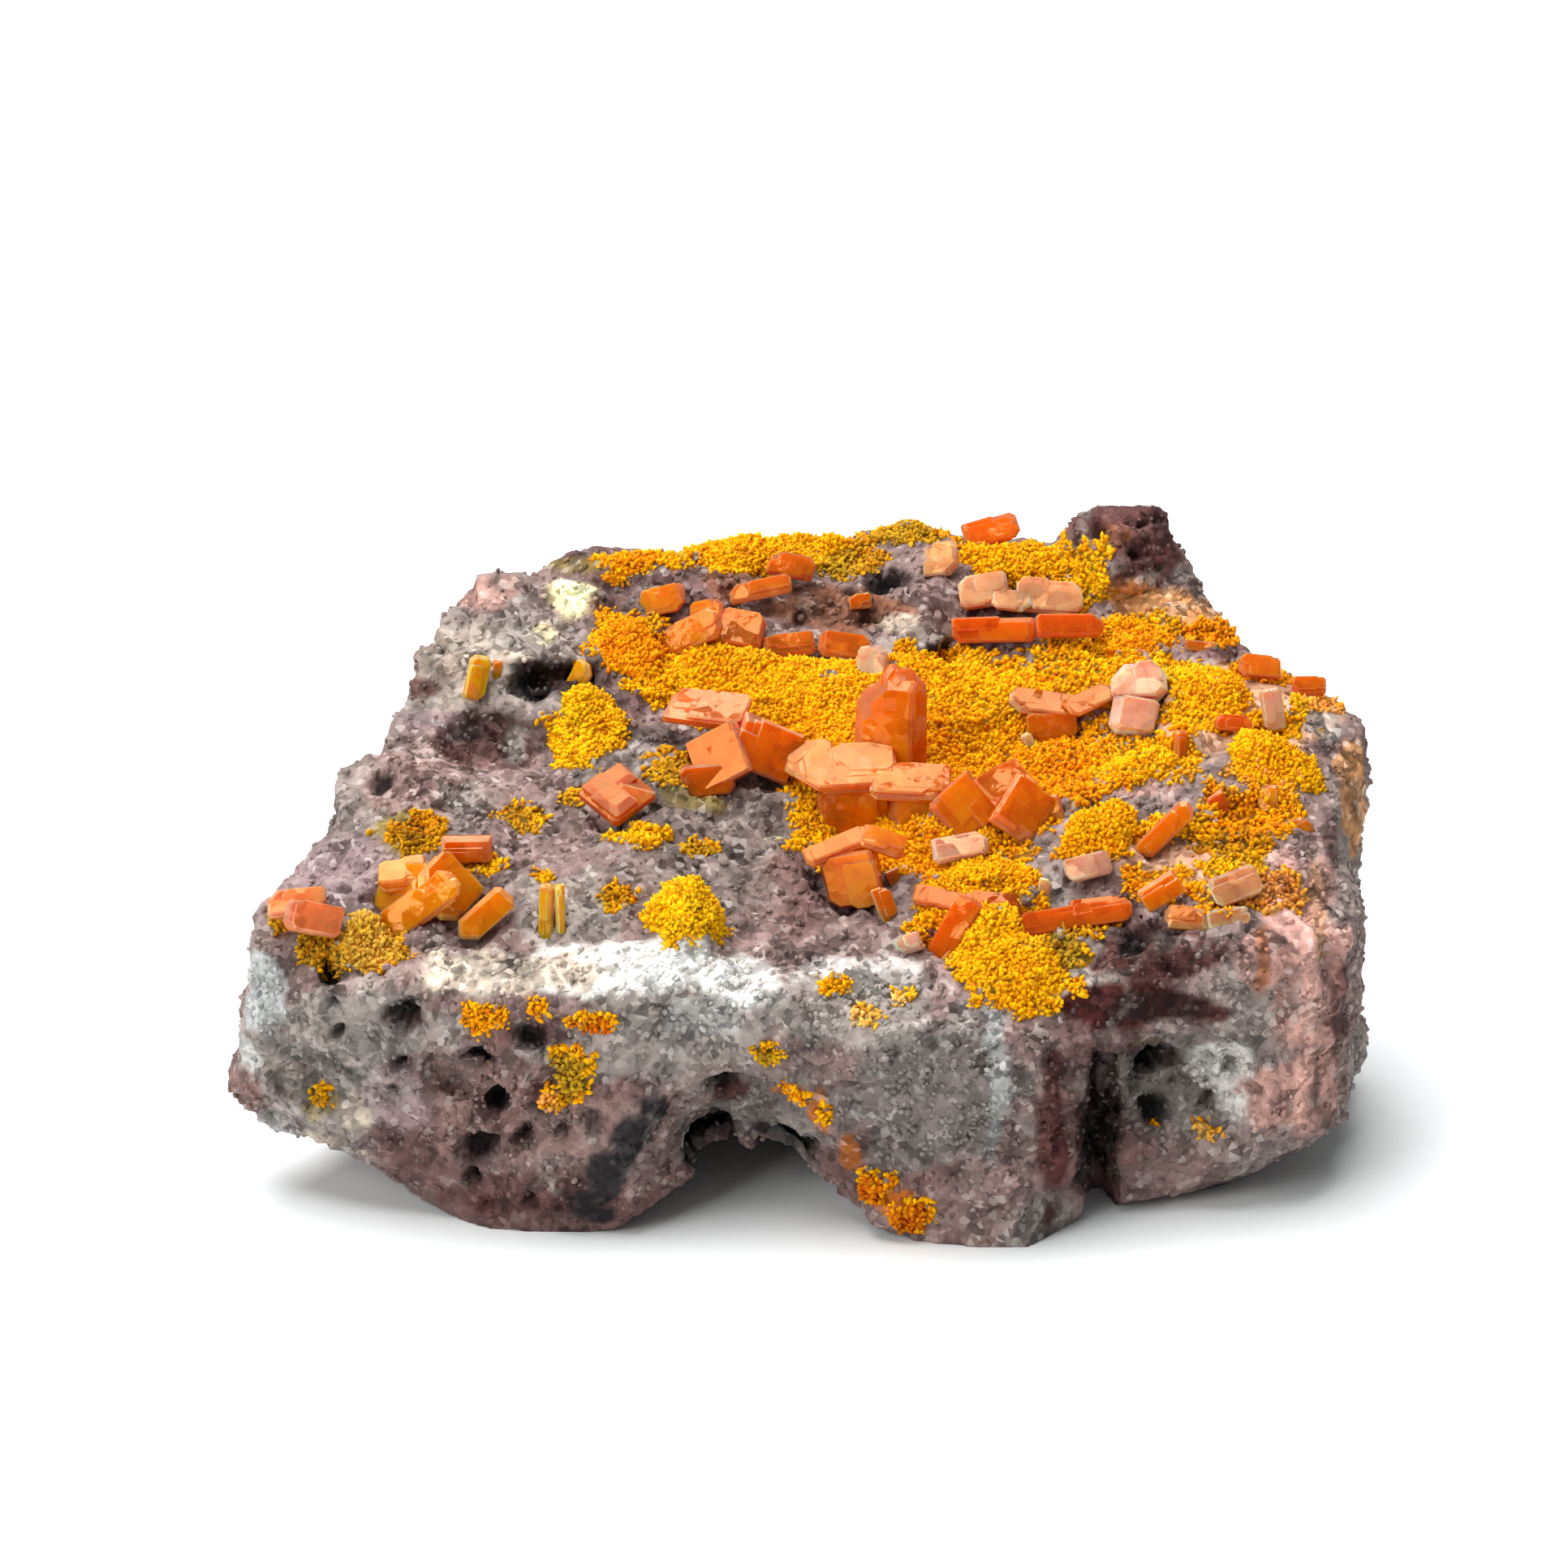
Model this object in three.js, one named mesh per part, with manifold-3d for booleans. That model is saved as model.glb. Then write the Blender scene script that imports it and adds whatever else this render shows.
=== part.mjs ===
// Wulfenite on matrix: a hand specimen of broken purple-grey rock, veined with white quartz. Its upper
// face slopes towards the viewer and is crusted with yellow botryoidal mimetite, from which thin square
// plates of orange wulfenite stand up, singly and in grown-together clusters.
// Millimetres, +X to the viewer's right, +Y away from the viewer, +Z up. The specimen rests on z = 0.
import * as THREE from "three";
import { mergeVertices } from "three/addons/utils/BufferGeometryUtils.js";
import Module from "manifold-3d";

const wasm = await Module();
wasm.setup();

// Driving dimensions of the rock
const HEART = new THREE.Vector3(0, 0, 11); // every point of the broken surface can be seen from here
const FACE_HEIGHT = 20; // height of the crystal-bearing face over the origin
const FACE_SLOPE = 0.44; // its rise towards the back, mm per mm
const ROCK_DETAIL = 8; // subdivisions of the icosahedron that is shrunk onto the rock
const EDGE_ROUND = 1.1; // how far the broken edges are rounded
const LEFT_END = -29.7; // x of the left end at the foot
const LEFT_LEAN = 0.22; // how far that end leans in, mm per mm of height
const UNDERSIDE = 3.2; // height of the hollow underside between the feet
const FIT_GAP = 0.3; // clearance between a grown-in piece and its pocket

// Driving dimensions of the crusts and crystals
const CRUST_ROOT = 1; // how deep a mimetite crust is rooted in the rock
const RIM_LOBES = 0.22; // how far its rim wanders, as a share of its half size
const CRUST_LUMPS = 0.5; // how far its lumps stand out, as a share of its rise
const LUMP_SIZE = 1.7; // distance from one lump of a crust to the next
const PLATE_BEVEL = 0.3; // the pyramid faces round a wulfenite plate, as a share of its thickness

// Plan of the rock at its widest, counter-clockwise from the left tip
const PLAN = [
  [-28.6, -9], [-27.6, -12], [-24, -13.8], [-19, -15], [-12, -16.2], [-7, -15.8], [0, -15.8], [6, -17.4],
  [12, -17.8], [14, -15.6], [15, -13.6], [18, -13.9], [24, -13.6], [28.6, -11.4], [29, -4.5], [29.6, 1.5],
  [28.6, 5.4], [25.2, 8.6], [21.8, 11.2], [18.6, 15.4], [12, 16.6], [4, 17.2], [-4, 16.8], [-10, 14.6],
  [-14.6, 12.2], [-17.8, 9.6], [-20, 6.4], [-20.8, 3], [-21.4, 0.8], [-22.6, -1.4], [-25, -5],
  [-27.4, -6.8],
];

// Relief of the upper face at points that can be told apart: [x, y, height over the sloping face]
const RELIEF = [
  // the low shelf at the left
  [-23, -9.5, 0], [-26, -9, 0], [-20, -7.3, 0], [-15.7, -10, 0], [-26, -12.8, -1.5], [-19.6, -13.4, -0.5],
  // the ledge over it and the dark recess behind
  [-22.5, -2.7, 1], [-18.5, -3, 0.8], [-16, -4.5, 0.3], [-16.3, 1.4, -1.8], [-12.8, -1.4, -1.2],
  // the knob of pale rock at the back left
  [-18, 4.3, 1.6], [-15.6, 7.9, 1.6], [-12.1, 7.1, 2.2], [-14.6, 3.8, 2.2], [-9.6, 9.9, 0.6],
  [-10.4, 5.7, -0.6], [-12, 10.5, 2],
  // the bare grey slope and the white quartz ridge in front of it
  [-5.5, -4.4, -0.3], [-2.6, -8, -0.3], [-7.6, -7.7, 0.3], [-3.4, -13.5, 0.5], [-9.4, -14.5, 0.5],
  // the bowl that the mimetite lines
  [-3.5, 5.2, -1.5], [0.8, 4.7, -2], [9.4, 4.7, -2], [11.4, 1.7, -1.8], [0.7, -3, -1], [6.9, -7.8, -0.5],
  // the ridge behind the bowl and the hollow behind that
  [-5.7, 7.5, 0.8], [-1.4, 7, 0.6], [3.3, 7, 0.8], [11.1, 7.4, 1.2], [17.2, 7.3, 0.5], [2.1, 10.8, -0.6],
  [-1, 11.7, -0.5],
  // the skyline
  [-4.5, 13.6, -0.4], [0.8, 14.6, 0.9], [5.2, 14.5, 0.6], [11.3, 13.8, -0.4], [14.9, 14.8, -0.2],
  // the granular right shoulder
  [19, 8.5, -0.3], [23.7, 7.6, 0.4], [26.9, 4.7, 0.9], [17.8, 3.1, 0.3], [22.1, 3.4, 0.5], [18.8, -2, 0],
  [22.9, -2.6, 0.5], [21.3, -9, 0.5], [17.2, -8.4, 0],
  // the front lip, the tongue of mimetite and the top of the buttress
  [19, -12.9, 0.8], [23.5, -12, 0.5], [10.9, -13.3, -1], [8.9, -10.6, -0.3], [4.7, -14.6, -0.8],
  [0.7, -14.1, -0.3], [10, -16.1, -2.5],
];
const RELIEF_REACH = 2.6; // how far one of those points shapes the face around it

// Feet and low places of the underside: [x, y, drop, reach]
const FEET = [
  [-12.5, -14, 6, 3.2], [-17.5, -11, 2.4, 3.4], [9.5, -14.5, 6.5, 4], [20, -9, 3.4, 4.5], [-13, 9, 6, 4.5],
  [15, 10, 6, 5],
];

// Repeatable noise: a whole-number hash, smooth noise from it, and broken facets
function hash(...numbers) {
  const primes = [374761393, 668265263, 1440662683, 1274126177];
  let h = numbers.reduce((sum, number, i) => sum + Math.imul(number, primes[i]), 0);
  h = Math.imul(h ^ (h >>> 13), 1103515245);
  h = Math.imul(h ^ (h >>> 16), 2246822519);
  return ((h ^ (h >>> 15)) >>> 0) / 4294967296;
}

function smoothNoise(point, size, salt) {
  const cell = [point.x / size, point.y / size, point.z / size];
  const low = cell.map(Math.floor);
  const [u, v, w] = cell.map((c, i) => {
    const t = c - low[i];
    return t * t * (3 - 2 * t);
  });
  let sum = 0;
  for (let corner = 0; corner < 8; corner += 1) {
    const [dx, dy, dz] = [corner & 1, (corner >> 1) & 1, corner >> 2];
    const weight = (dx ? u : 1 - u) * (dy ? v : 1 - v) * (dz ? w : 1 - w);
    sum += weight * hash(low[0] + dx, low[1] + dy, low[2] + dz, salt);
  }
  return 2 * sum - 1;
}

// Each cell of a scattered lattice tilts its own way, so its stretch of surface breaks as one flat facet
function facetNoise(point, size, salt) {
  const cell = [point.x / size, point.y / size, point.z / size];
  const low = cell.map(Math.floor);
  let nearest = Infinity;
  let tilt = 0;
  for (let i = -1; i <= 1; i += 1) {
    for (let j = -1; j <= 1; j += 1) {
      for (let k = -1; k <= 1; k += 1) {
        const id = [low[0] + i, low[1] + j, low[2] + k];
        const offset = id.map((n, axis) => n + hash(...id, salt + axis) - cell[axis]);
        const distance = offset[0] ** 2 + offset[1] ** 2 + offset[2] ** 2;
        if (distance < nearest) {
          nearest = distance;
          tilt = 0.5 * (hash(...id, salt + 6) - 0.5);
          offset.forEach((o, axis) => (tilt += o * (hash(...id, salt + 3 + axis) - 0.5)));
        }
      }
    }
  }
  return tilt;
}

function roundedMax(a, b, round) {
  const h = Math.max(round - Math.abs(a - b), 0) / round;
  return Math.max(a, b) + h * h * round * 0.25;
}

// Distance to the plan's outline, negative inside
function fromPlan(x, y) {
  let nearest = Infinity;
  let inside = false;
  PLAN.forEach(([ax, ay], i) => {
    const [bx, by] = PLAN[(i + 1) % PLAN.length];
    const along = ((x - ax) * (bx - ax) + (y - ay) * (by - ay)) / ((bx - ax) ** 2 + (by - ay) ** 2);
    const t = Math.min(Math.max(along, 0), 1);
    nearest = Math.min(nearest, Math.hypot(x - ax - t * (bx - ax), y - ay - t * (by - ay)));
    if (ay > y !== by > y && x < ax + ((y - ay) * (bx - ax)) / (by - ay)) inside = !inside;
  });
  return inside ? -nearest : nearest;
}

// Height of the upper face: the slope, and the relief of the points around
function faceHeight(x, y) {
  let sum = 0;
  let total = 0.02;
  for (const [px, py, height] of RELIEF) {
    const weight = Math.exp(-((x - px) ** 2 + (y - py) ** 2) / (2 * RELIEF_REACH ** 2));
    sum += weight * height;
    total += weight;
  }
  return FACE_HEIGHT + FACE_SLOPE * y + sum / total;
}

function undersideHeight(x, y) {
  return FEET.reduce((height, [footX, footY, drop, reach]) => {
    const squared = (x - footX) ** 2 + (y - footY) ** 2;
    return height - drop * Math.exp(-squared / (2 * reach ** 2));
  }, UNDERSIDE);
}

// Negative inside the rock: between the two faces and the plan, with the left end leaning in as it rises
function insideRock(p) {
  const rough = 0.5 * smoothNoise(p, 6, 1) + 0.3 * smoothNoise(p, 2.6, 2) + 1.5 * facetNoise(p, 6, 10);
  const upper = p.z - faceHeight(p.x, p.y);
  const leftEnd = LEFT_END - p.x + LEFT_LEAN * p.z;
  const walls = roundedMax(fromPlan(p.x, p.y), leftEnd, EDGE_ROUND);
  const under = undersideHeight(p.x, p.y) - p.z;
  return roundedMax(roundedMax(upper, walls, EDGE_ROUND), under, EDGE_ROUND) + rough;
}

// Moves each vertex of a closed geometry, first stretched and shifted so that more of them face up and to
// the front, out from the heart to where the surface function turns positive
function shrinkOnto(surface, geometry, heart, reach, shift) {
  const STEP = 0.3; // of the march along each line
  const HALVINGS = 8; // of the last step
  const position = geometry.attributes.position;
  const direction = new THREE.Vector3();
  const point = new THREE.Vector3();
  for (let i = 0; i < position.count; i += 1) {
    direction.fromBufferAttribute(position, i).multiply(reach).add(shift).normalize();
    let far = STEP;
    while (surface(point.copy(heart).addScaledVector(direction, far)) < 0) far += STEP;
    let near = far - STEP;
    for (let halving = 0; halving < HALVINGS; halving += 1) {
      const middle = (near + far) / 2;
      if (surface(point.copy(heart).addScaledVector(direction, middle)) < 0) near = middle;
      else far = middle;
    }
    position.setXYZ(i, ...point.copy(heart).addScaledVector(direction, near).toArray());
  }
  return geometry;
}

// Geometry to solid and back
function welded(geometry) {
  const bare = geometry.clone();
  bare.deleteAttribute("normal");
  bare.deleteAttribute("uv");
  return mergeVertices(bare, 1e-4);
}

function solidOf(geometry) {
  const merged = welded(geometry);
  const vertProperties = new Float32Array(merged.attributes.position.array);
  const triVerts = new Uint32Array(merged.index.array);
  return new wasm.Manifold(new wasm.Mesh({ numProp: 3, vertProperties, triVerts }));
}

function geometryOf(solid) {
  const mesh = solid.getMesh();
  const geometry = new THREE.BufferGeometry();
  geometry.setAttribute("position", new THREE.BufferAttribute(mesh.vertProperties, 3));
  geometry.setIndex(new THREE.BufferAttribute(mesh.triVerts, 1));
  const faceted = geometry.toNonIndexed();
  faceted.computeVertexNormals();
  return faceted;
}

// The piece with the most triangles, where a cut has left chips beside it
function largestPiece(geometry) {
  const merged = mergeVertices(geometry.clone().deleteAttribute("normal"), 1e-4);
  const corner = [...merged.index.array];
  const parent = Array.from({ length: merged.attributes.position.count }, (_, i) => i);
  const root = (i) => {
    while (parent[i] !== i) i = parent[i] = parent[parent[i]];
    return i;
  };
  for (let i = 0; i < corner.length; i += 3) {
    parent[root(corner[i])] = root(corner[i + 1]);
    parent[root(corner[i + 1])] = root(corner[i + 2]);
  }
  const sizes = new Map();
  for (const i of corner) sizes.set(root(i), (sizes.get(root(i)) ?? 0) + 1);
  const [largest] = [...sizes].reduce((best, entry) => (entry[1] > best[1] ? entry : best));
  merged.setIndex(corner.filter((i) => root(i) === largest));
  const faceted = merged.toNonIndexed();
  faceted.computeVertexNormals();
  return faceted;
}

// A lump or hollow: an icosahedron's sphere with its own half sizes, roughened, turned and placed
function lump([x, y, z], [a, b, c], { detail = 4, rough = 0.12, salt = 20, turn = [0, 0, 0] } = {}) {
  const geometry = welded(new THREE.IcosahedronGeometry(1, detail));
  const position = geometry.attributes.position;
  const point = new THREE.Vector3();
  for (let i = 0; i < position.count; i += 1) {
    point.fromBufferAttribute(position, i);
    point.multiplyScalar(1 + rough * (smoothNoise(point, 0.55, salt) + 1.6 * facetNoise(point, 0.8, salt)));
    position.setXYZ(i, point.x * a, point.y * b, point.z * c);
  }
  geometry.applyMatrix4(new THREE.Matrix4().makeRotationFromEuler(new THREE.Euler(...turn)));
  return geometry.translate(x, y, z);
}

// The rock
const ball = welded(new THREE.IcosahedronGeometry(1, ROCK_DETAIL));
const REACH = new THREE.Vector3(30, 17, 13);
const SHIFT = new THREE.Vector3(0, -3, 4);
let rock = solidOf(shrinkOnto(insideRock, ball, HEART, REACH, SHIFT));

const KNOB = lump([17.3, 13.6, 25.3], [3.2, 3, 3], { detail: 2, rough: 0.28, salt: 31 });
rock = rock.add(solidOf(KNOB));

const HOLLOWS = [
  lump([-2.4, -18.6, 1.5], [6.4, 5.6, 8], { detail: 2, salt: 41 }), // the arch between the two front feet
  lump([20, -17.2, 6.6], [5.2, 5.6, 4.8], { detail: 2, salt: 42 }), // the alcove under the front lip
  lump([15.3, -16, 3.5], [1.3, 6.2, 7], { detail: 1, salt: 43 }), // the crevice beside the buttress
  lump([-15.6, 0.6, 20.2], [4, 2, 1.9], { detail: 1, salt: 44 }), // the dark recess under the pale knob
  lump([-11.8, 4.6, 22.2], [2.2, 1.2, 1.5], { detail: 1, salt: 45 }), // the cavity beside it
  lump([-17.6, -15.4, 8.2], [1.5, 1.8, 1.2], { detail: 1, salt: 46 }), // a pit in the left front block
  lump([-15.2, -16, 6.8], [1.3, 1.6, 1.6], { detail: 1, salt: 47 }), // the pit beside it
  lump([-25.2, -13.4, 6.8], [1.7, 1.6, 1.2], { detail: 1, salt: 49 }), // the vug at the left end
  lump([22.9, -5.4, 18.6], [1.9, 1.5, 1.4], { detail: 1, salt: 50 }), // the pocket in the right shoulder
  lump([31.7, -2, 8.2], [3, 15, 4.6], { detail: 2, salt: 51, turn: [-0.38, 0, 0] }), // the right wall's waist
];
for (const hollow of HOLLOWS) rock = rock.subtract(solidOf(hollow));

const floorCut = new THREE.BoxGeometry(100, 100, 20).translate(0, 0, -10);
rock = rock.subtract(solidOf(floorCut));

// The rock's height at a point of the plan, found by sighting straight down on it
const SIGHT = 80; // height that the sight line starts from
const bareRock = new THREE.Mesh(geometryOf(rock));
const sightLine = new THREE.Raycaster();

function seat(x, y) {
  sightLine.set(new THREE.Vector3(x, y, SIGHT), new THREE.Vector3(0, 0, -1));
  const [hit] = sightLine.intersectObject(bareRock);
  return hit?.point;
}

// The seat at a point, or past the rock's rim the nearest on the way back to a centre that is on the rock
function seatNear(x, y, centre) {
  let found = seat(x, y);
  for (let back = 0.1; !found; back += 0.1) {
    found = seat(THREE.MathUtils.lerp(x, centre[0], back), THREE.MathUtils.lerp(y, centre[1], back));
  }
  return found;
}

// Profiles of a crust and of the roomier pocket that it sits in, from the root's middle round the rim to
// the top's: [share of the half size, share of the root's depth below or of the rise above]
function crustProfile(roots, rings) {
  const along = (count) => Array.from({ length: count + 1 }, (_, ring) => ring / count);
  const root = along(roots).map((share) => [0.85 * share, 0.35 * share - 0.8]);
  const quarterTurn = along(rings + 1).map((share) => (share * Math.PI) / 2);
  const dome = quarterTurn.map((angle) => [Math.cos(angle), Math.sin(angle)]);
  return [...root, ...dome.slice(0, -1), [0, 1]];
}

function pocketProfile(roots) {
  const root = Array.from({ length: roots + 1 }, (_, ring) => [ring / roots, (0.45 * ring) / roots - 1]);
  return [...root, [1, 0.7], [0, 1.5]];
}

// A crust: a pillow whose faces follow the rock, the upper one lumpy, inside a lobed rim
function crust(patch, asPocket = false) {
  const { at, half, turn = 0, rise = 0.9, around = 8, roots = 1, rings = 2, salt } = patch;
  const grow = asPocket ? FIT_GAP : 0;
  const profile = asPocket ? pocketProfile(roots) : crustProfile(roots, rings);
  const turned = new THREE.LatheGeometry(profile.map((point) => new THREE.Vector2(...point)), around);
  const geometry = welded(turned.rotateX(Math.PI / 2));
  const position = geometry.attributes.position;
  const unit = new THREE.Vector3();
  for (let i = 0; i < position.count; i += 1) {
    unit.fromBufferAttribute(position, i);
    const rim = new THREE.Vector3(unit.x, unit.y, 0).setLength(2);
    const lobe = 1 + RIM_LOBES * smoothNoise(rim, 1, salt);
    const across = new THREE.Vector2(unit.x * (half[0] * lobe + grow), unit.y * (half[1] * lobe + grow));
    across.rotateAround(new THREE.Vector2(), THREE.MathUtils.degToRad(turn));
    const [x, y] = [at[0] + across.x, at[1] + across.y];
    const lumps = 1 + CRUST_LUMPS * smoothNoise(new THREE.Vector3(x, y, 0), LUMP_SIZE, salt);
    const depth = (unit.z > 0 ? rise * lumps : CRUST_ROOT) + grow;
    const ground = seatNear(x, y, at);
    position.setXYZ(i, ground.x, ground.y, ground.z + unit.z * depth);
  }
  return geometry;
}

// Stands a piece made round the origin, its face to +Z, on the rock: the face turned to an azimuth (0 is
// towards the viewer, 90 to the right) and an elevation, after a spin about its own middle
function stand(geometry, { at, lift, face: [azimuth, elevation], spin = 0 }) {
  const degrees = Math.PI / 180;
  const ground = seat(...at);
  geometry.rotateZ(spin * degrees);
  geometry.rotateX((90 - elevation) * degrees);
  geometry.rotateZ(azimuth * degrees);
  return geometry.translate(ground.x, ground.y, ground.z + lift);
}

// A wulfenite plate: an oblong with cut corners, its edge bevelled on both sides to pyramid faces
function plate(crystal) {
  const [width, height, thickness] = crystal.size;
  const bevel = PLATE_BEVEL * thickness;
  const [x, y] = [width / 2 - bevel, height / 2 - bevel];
  const cut = crystal.cut ?? 0;
  const outline = new THREE.Shape();
  outline.moveTo(x, cut - y);
  outline.lineTo(x, y - cut);
  if (cut) outline.lineTo(x - cut, y);
  outline.lineTo(cut - x, y);
  if (cut) outline.lineTo(-x, y - cut);
  outline.lineTo(-x, cut - y);
  if (cut) outline.lineTo(cut - x, -y);
  outline.lineTo(x - cut, -y);
  const depth = thickness - 2 * bevel;
  const geometry = new THREE.ExtrudeGeometry(outline, {
    depth,
    bevelThickness: bevel,
    bevelSize: bevel,
    bevelSegments: 1,
  });
  return stand(geometry.translate(0, 0, -depth / 2), crystal);
}

function platePocket(crystal) {
  const [width, height, thickness] = crystal.size.map((side) => side + 2 * FIT_GAP);
  return stand(new THREE.BoxGeometry(width, height, thickness), crystal);
}

// The mimetite crusts: half is half the size across, before the rim's lobes
const CRUSTS = {
  mimetite_bowl: [
    { at: [5.4, 2.4], half: [10.2, 3.9], turn: -4, rise: 0.9, around: 16, roots: 2, rings: 3, salt: 61 },
    { at: [-3, 5.2], half: [4.4, 1.9], turn: 4, rise: 0.8, around: 8, salt: 62 },
    { at: [7.4, -3.6], half: [5, 3.6], turn: -8, rise: 1, around: 10, salt: 63 },
  ],
  mimetite_tongue: [
    { at: [9.8, -10.2], half: [3.8, 3], turn: -10, rise: 1.2, around: 10, rings: 2, salt: 64 },
    { at: [10.6, -13.6], half: [3.2, 1.9], turn: 14, rise: 1, salt: 65 },
  ],
  mimetite_ball: [{ at: [-5.4, -11.8], half: [2, 1.9], rise: 1.8, rings: 3, salt: 66 }],
  mimetite_left: [{ at: [-11, 1.3], half: [1.9, 2], rise: 1.1, salt: 67 }],
  mimetite_upper_left: [{ at: [-9, 6.3], half: [2.1, 1.4], turn: -30, salt: 68 }],
  mimetite_skyline_left: [{ at: [-8.2, 11.4], half: [3.2, 1.2], turn: 10, rise: 0.8, salt: 69 }],
  mimetite_skyline: [{ at: [-1.4, 13.9], half: [3.9, 1.7], turn: 4, around: 12, salt: 70 }],
  mimetite_back: [{ at: [11.6, 12.3], half: [2.7, 1.9], turn: -10, rise: 1, around: 10, salt: 71 }],
  mimetite_shoulder_back: [{ at: [18, 7.6], half: [2.4, 1.4], turn: -20, salt: 72 }],
  mimetite_shoulder: [{ at: [21.2, 3], half: [2.6, 1.8], turn: -12, rise: 1, salt: 73 }],
  mimetite_shoulder_front: [{ at: [17.4, -2.2], half: [2.2, 1.5], turn: 10, salt: 74 }],
  mimetite_pocket_rim: [{ at: [24.4, -2.4], half: [2.6, 1.6], turn: -16, rise: 1, salt: 75 }],
  mimetite_lip: [{ at: [15.6, -6.4], half: [2.2, 1.4], turn: 24, rise: 0.7, salt: 76 }],
  mimetite_shelf: [{ at: [-21.3, -12.1], half: [2.3, 1.1], turn: -8, rise: 0.6, salt: 77 }],
};

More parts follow.
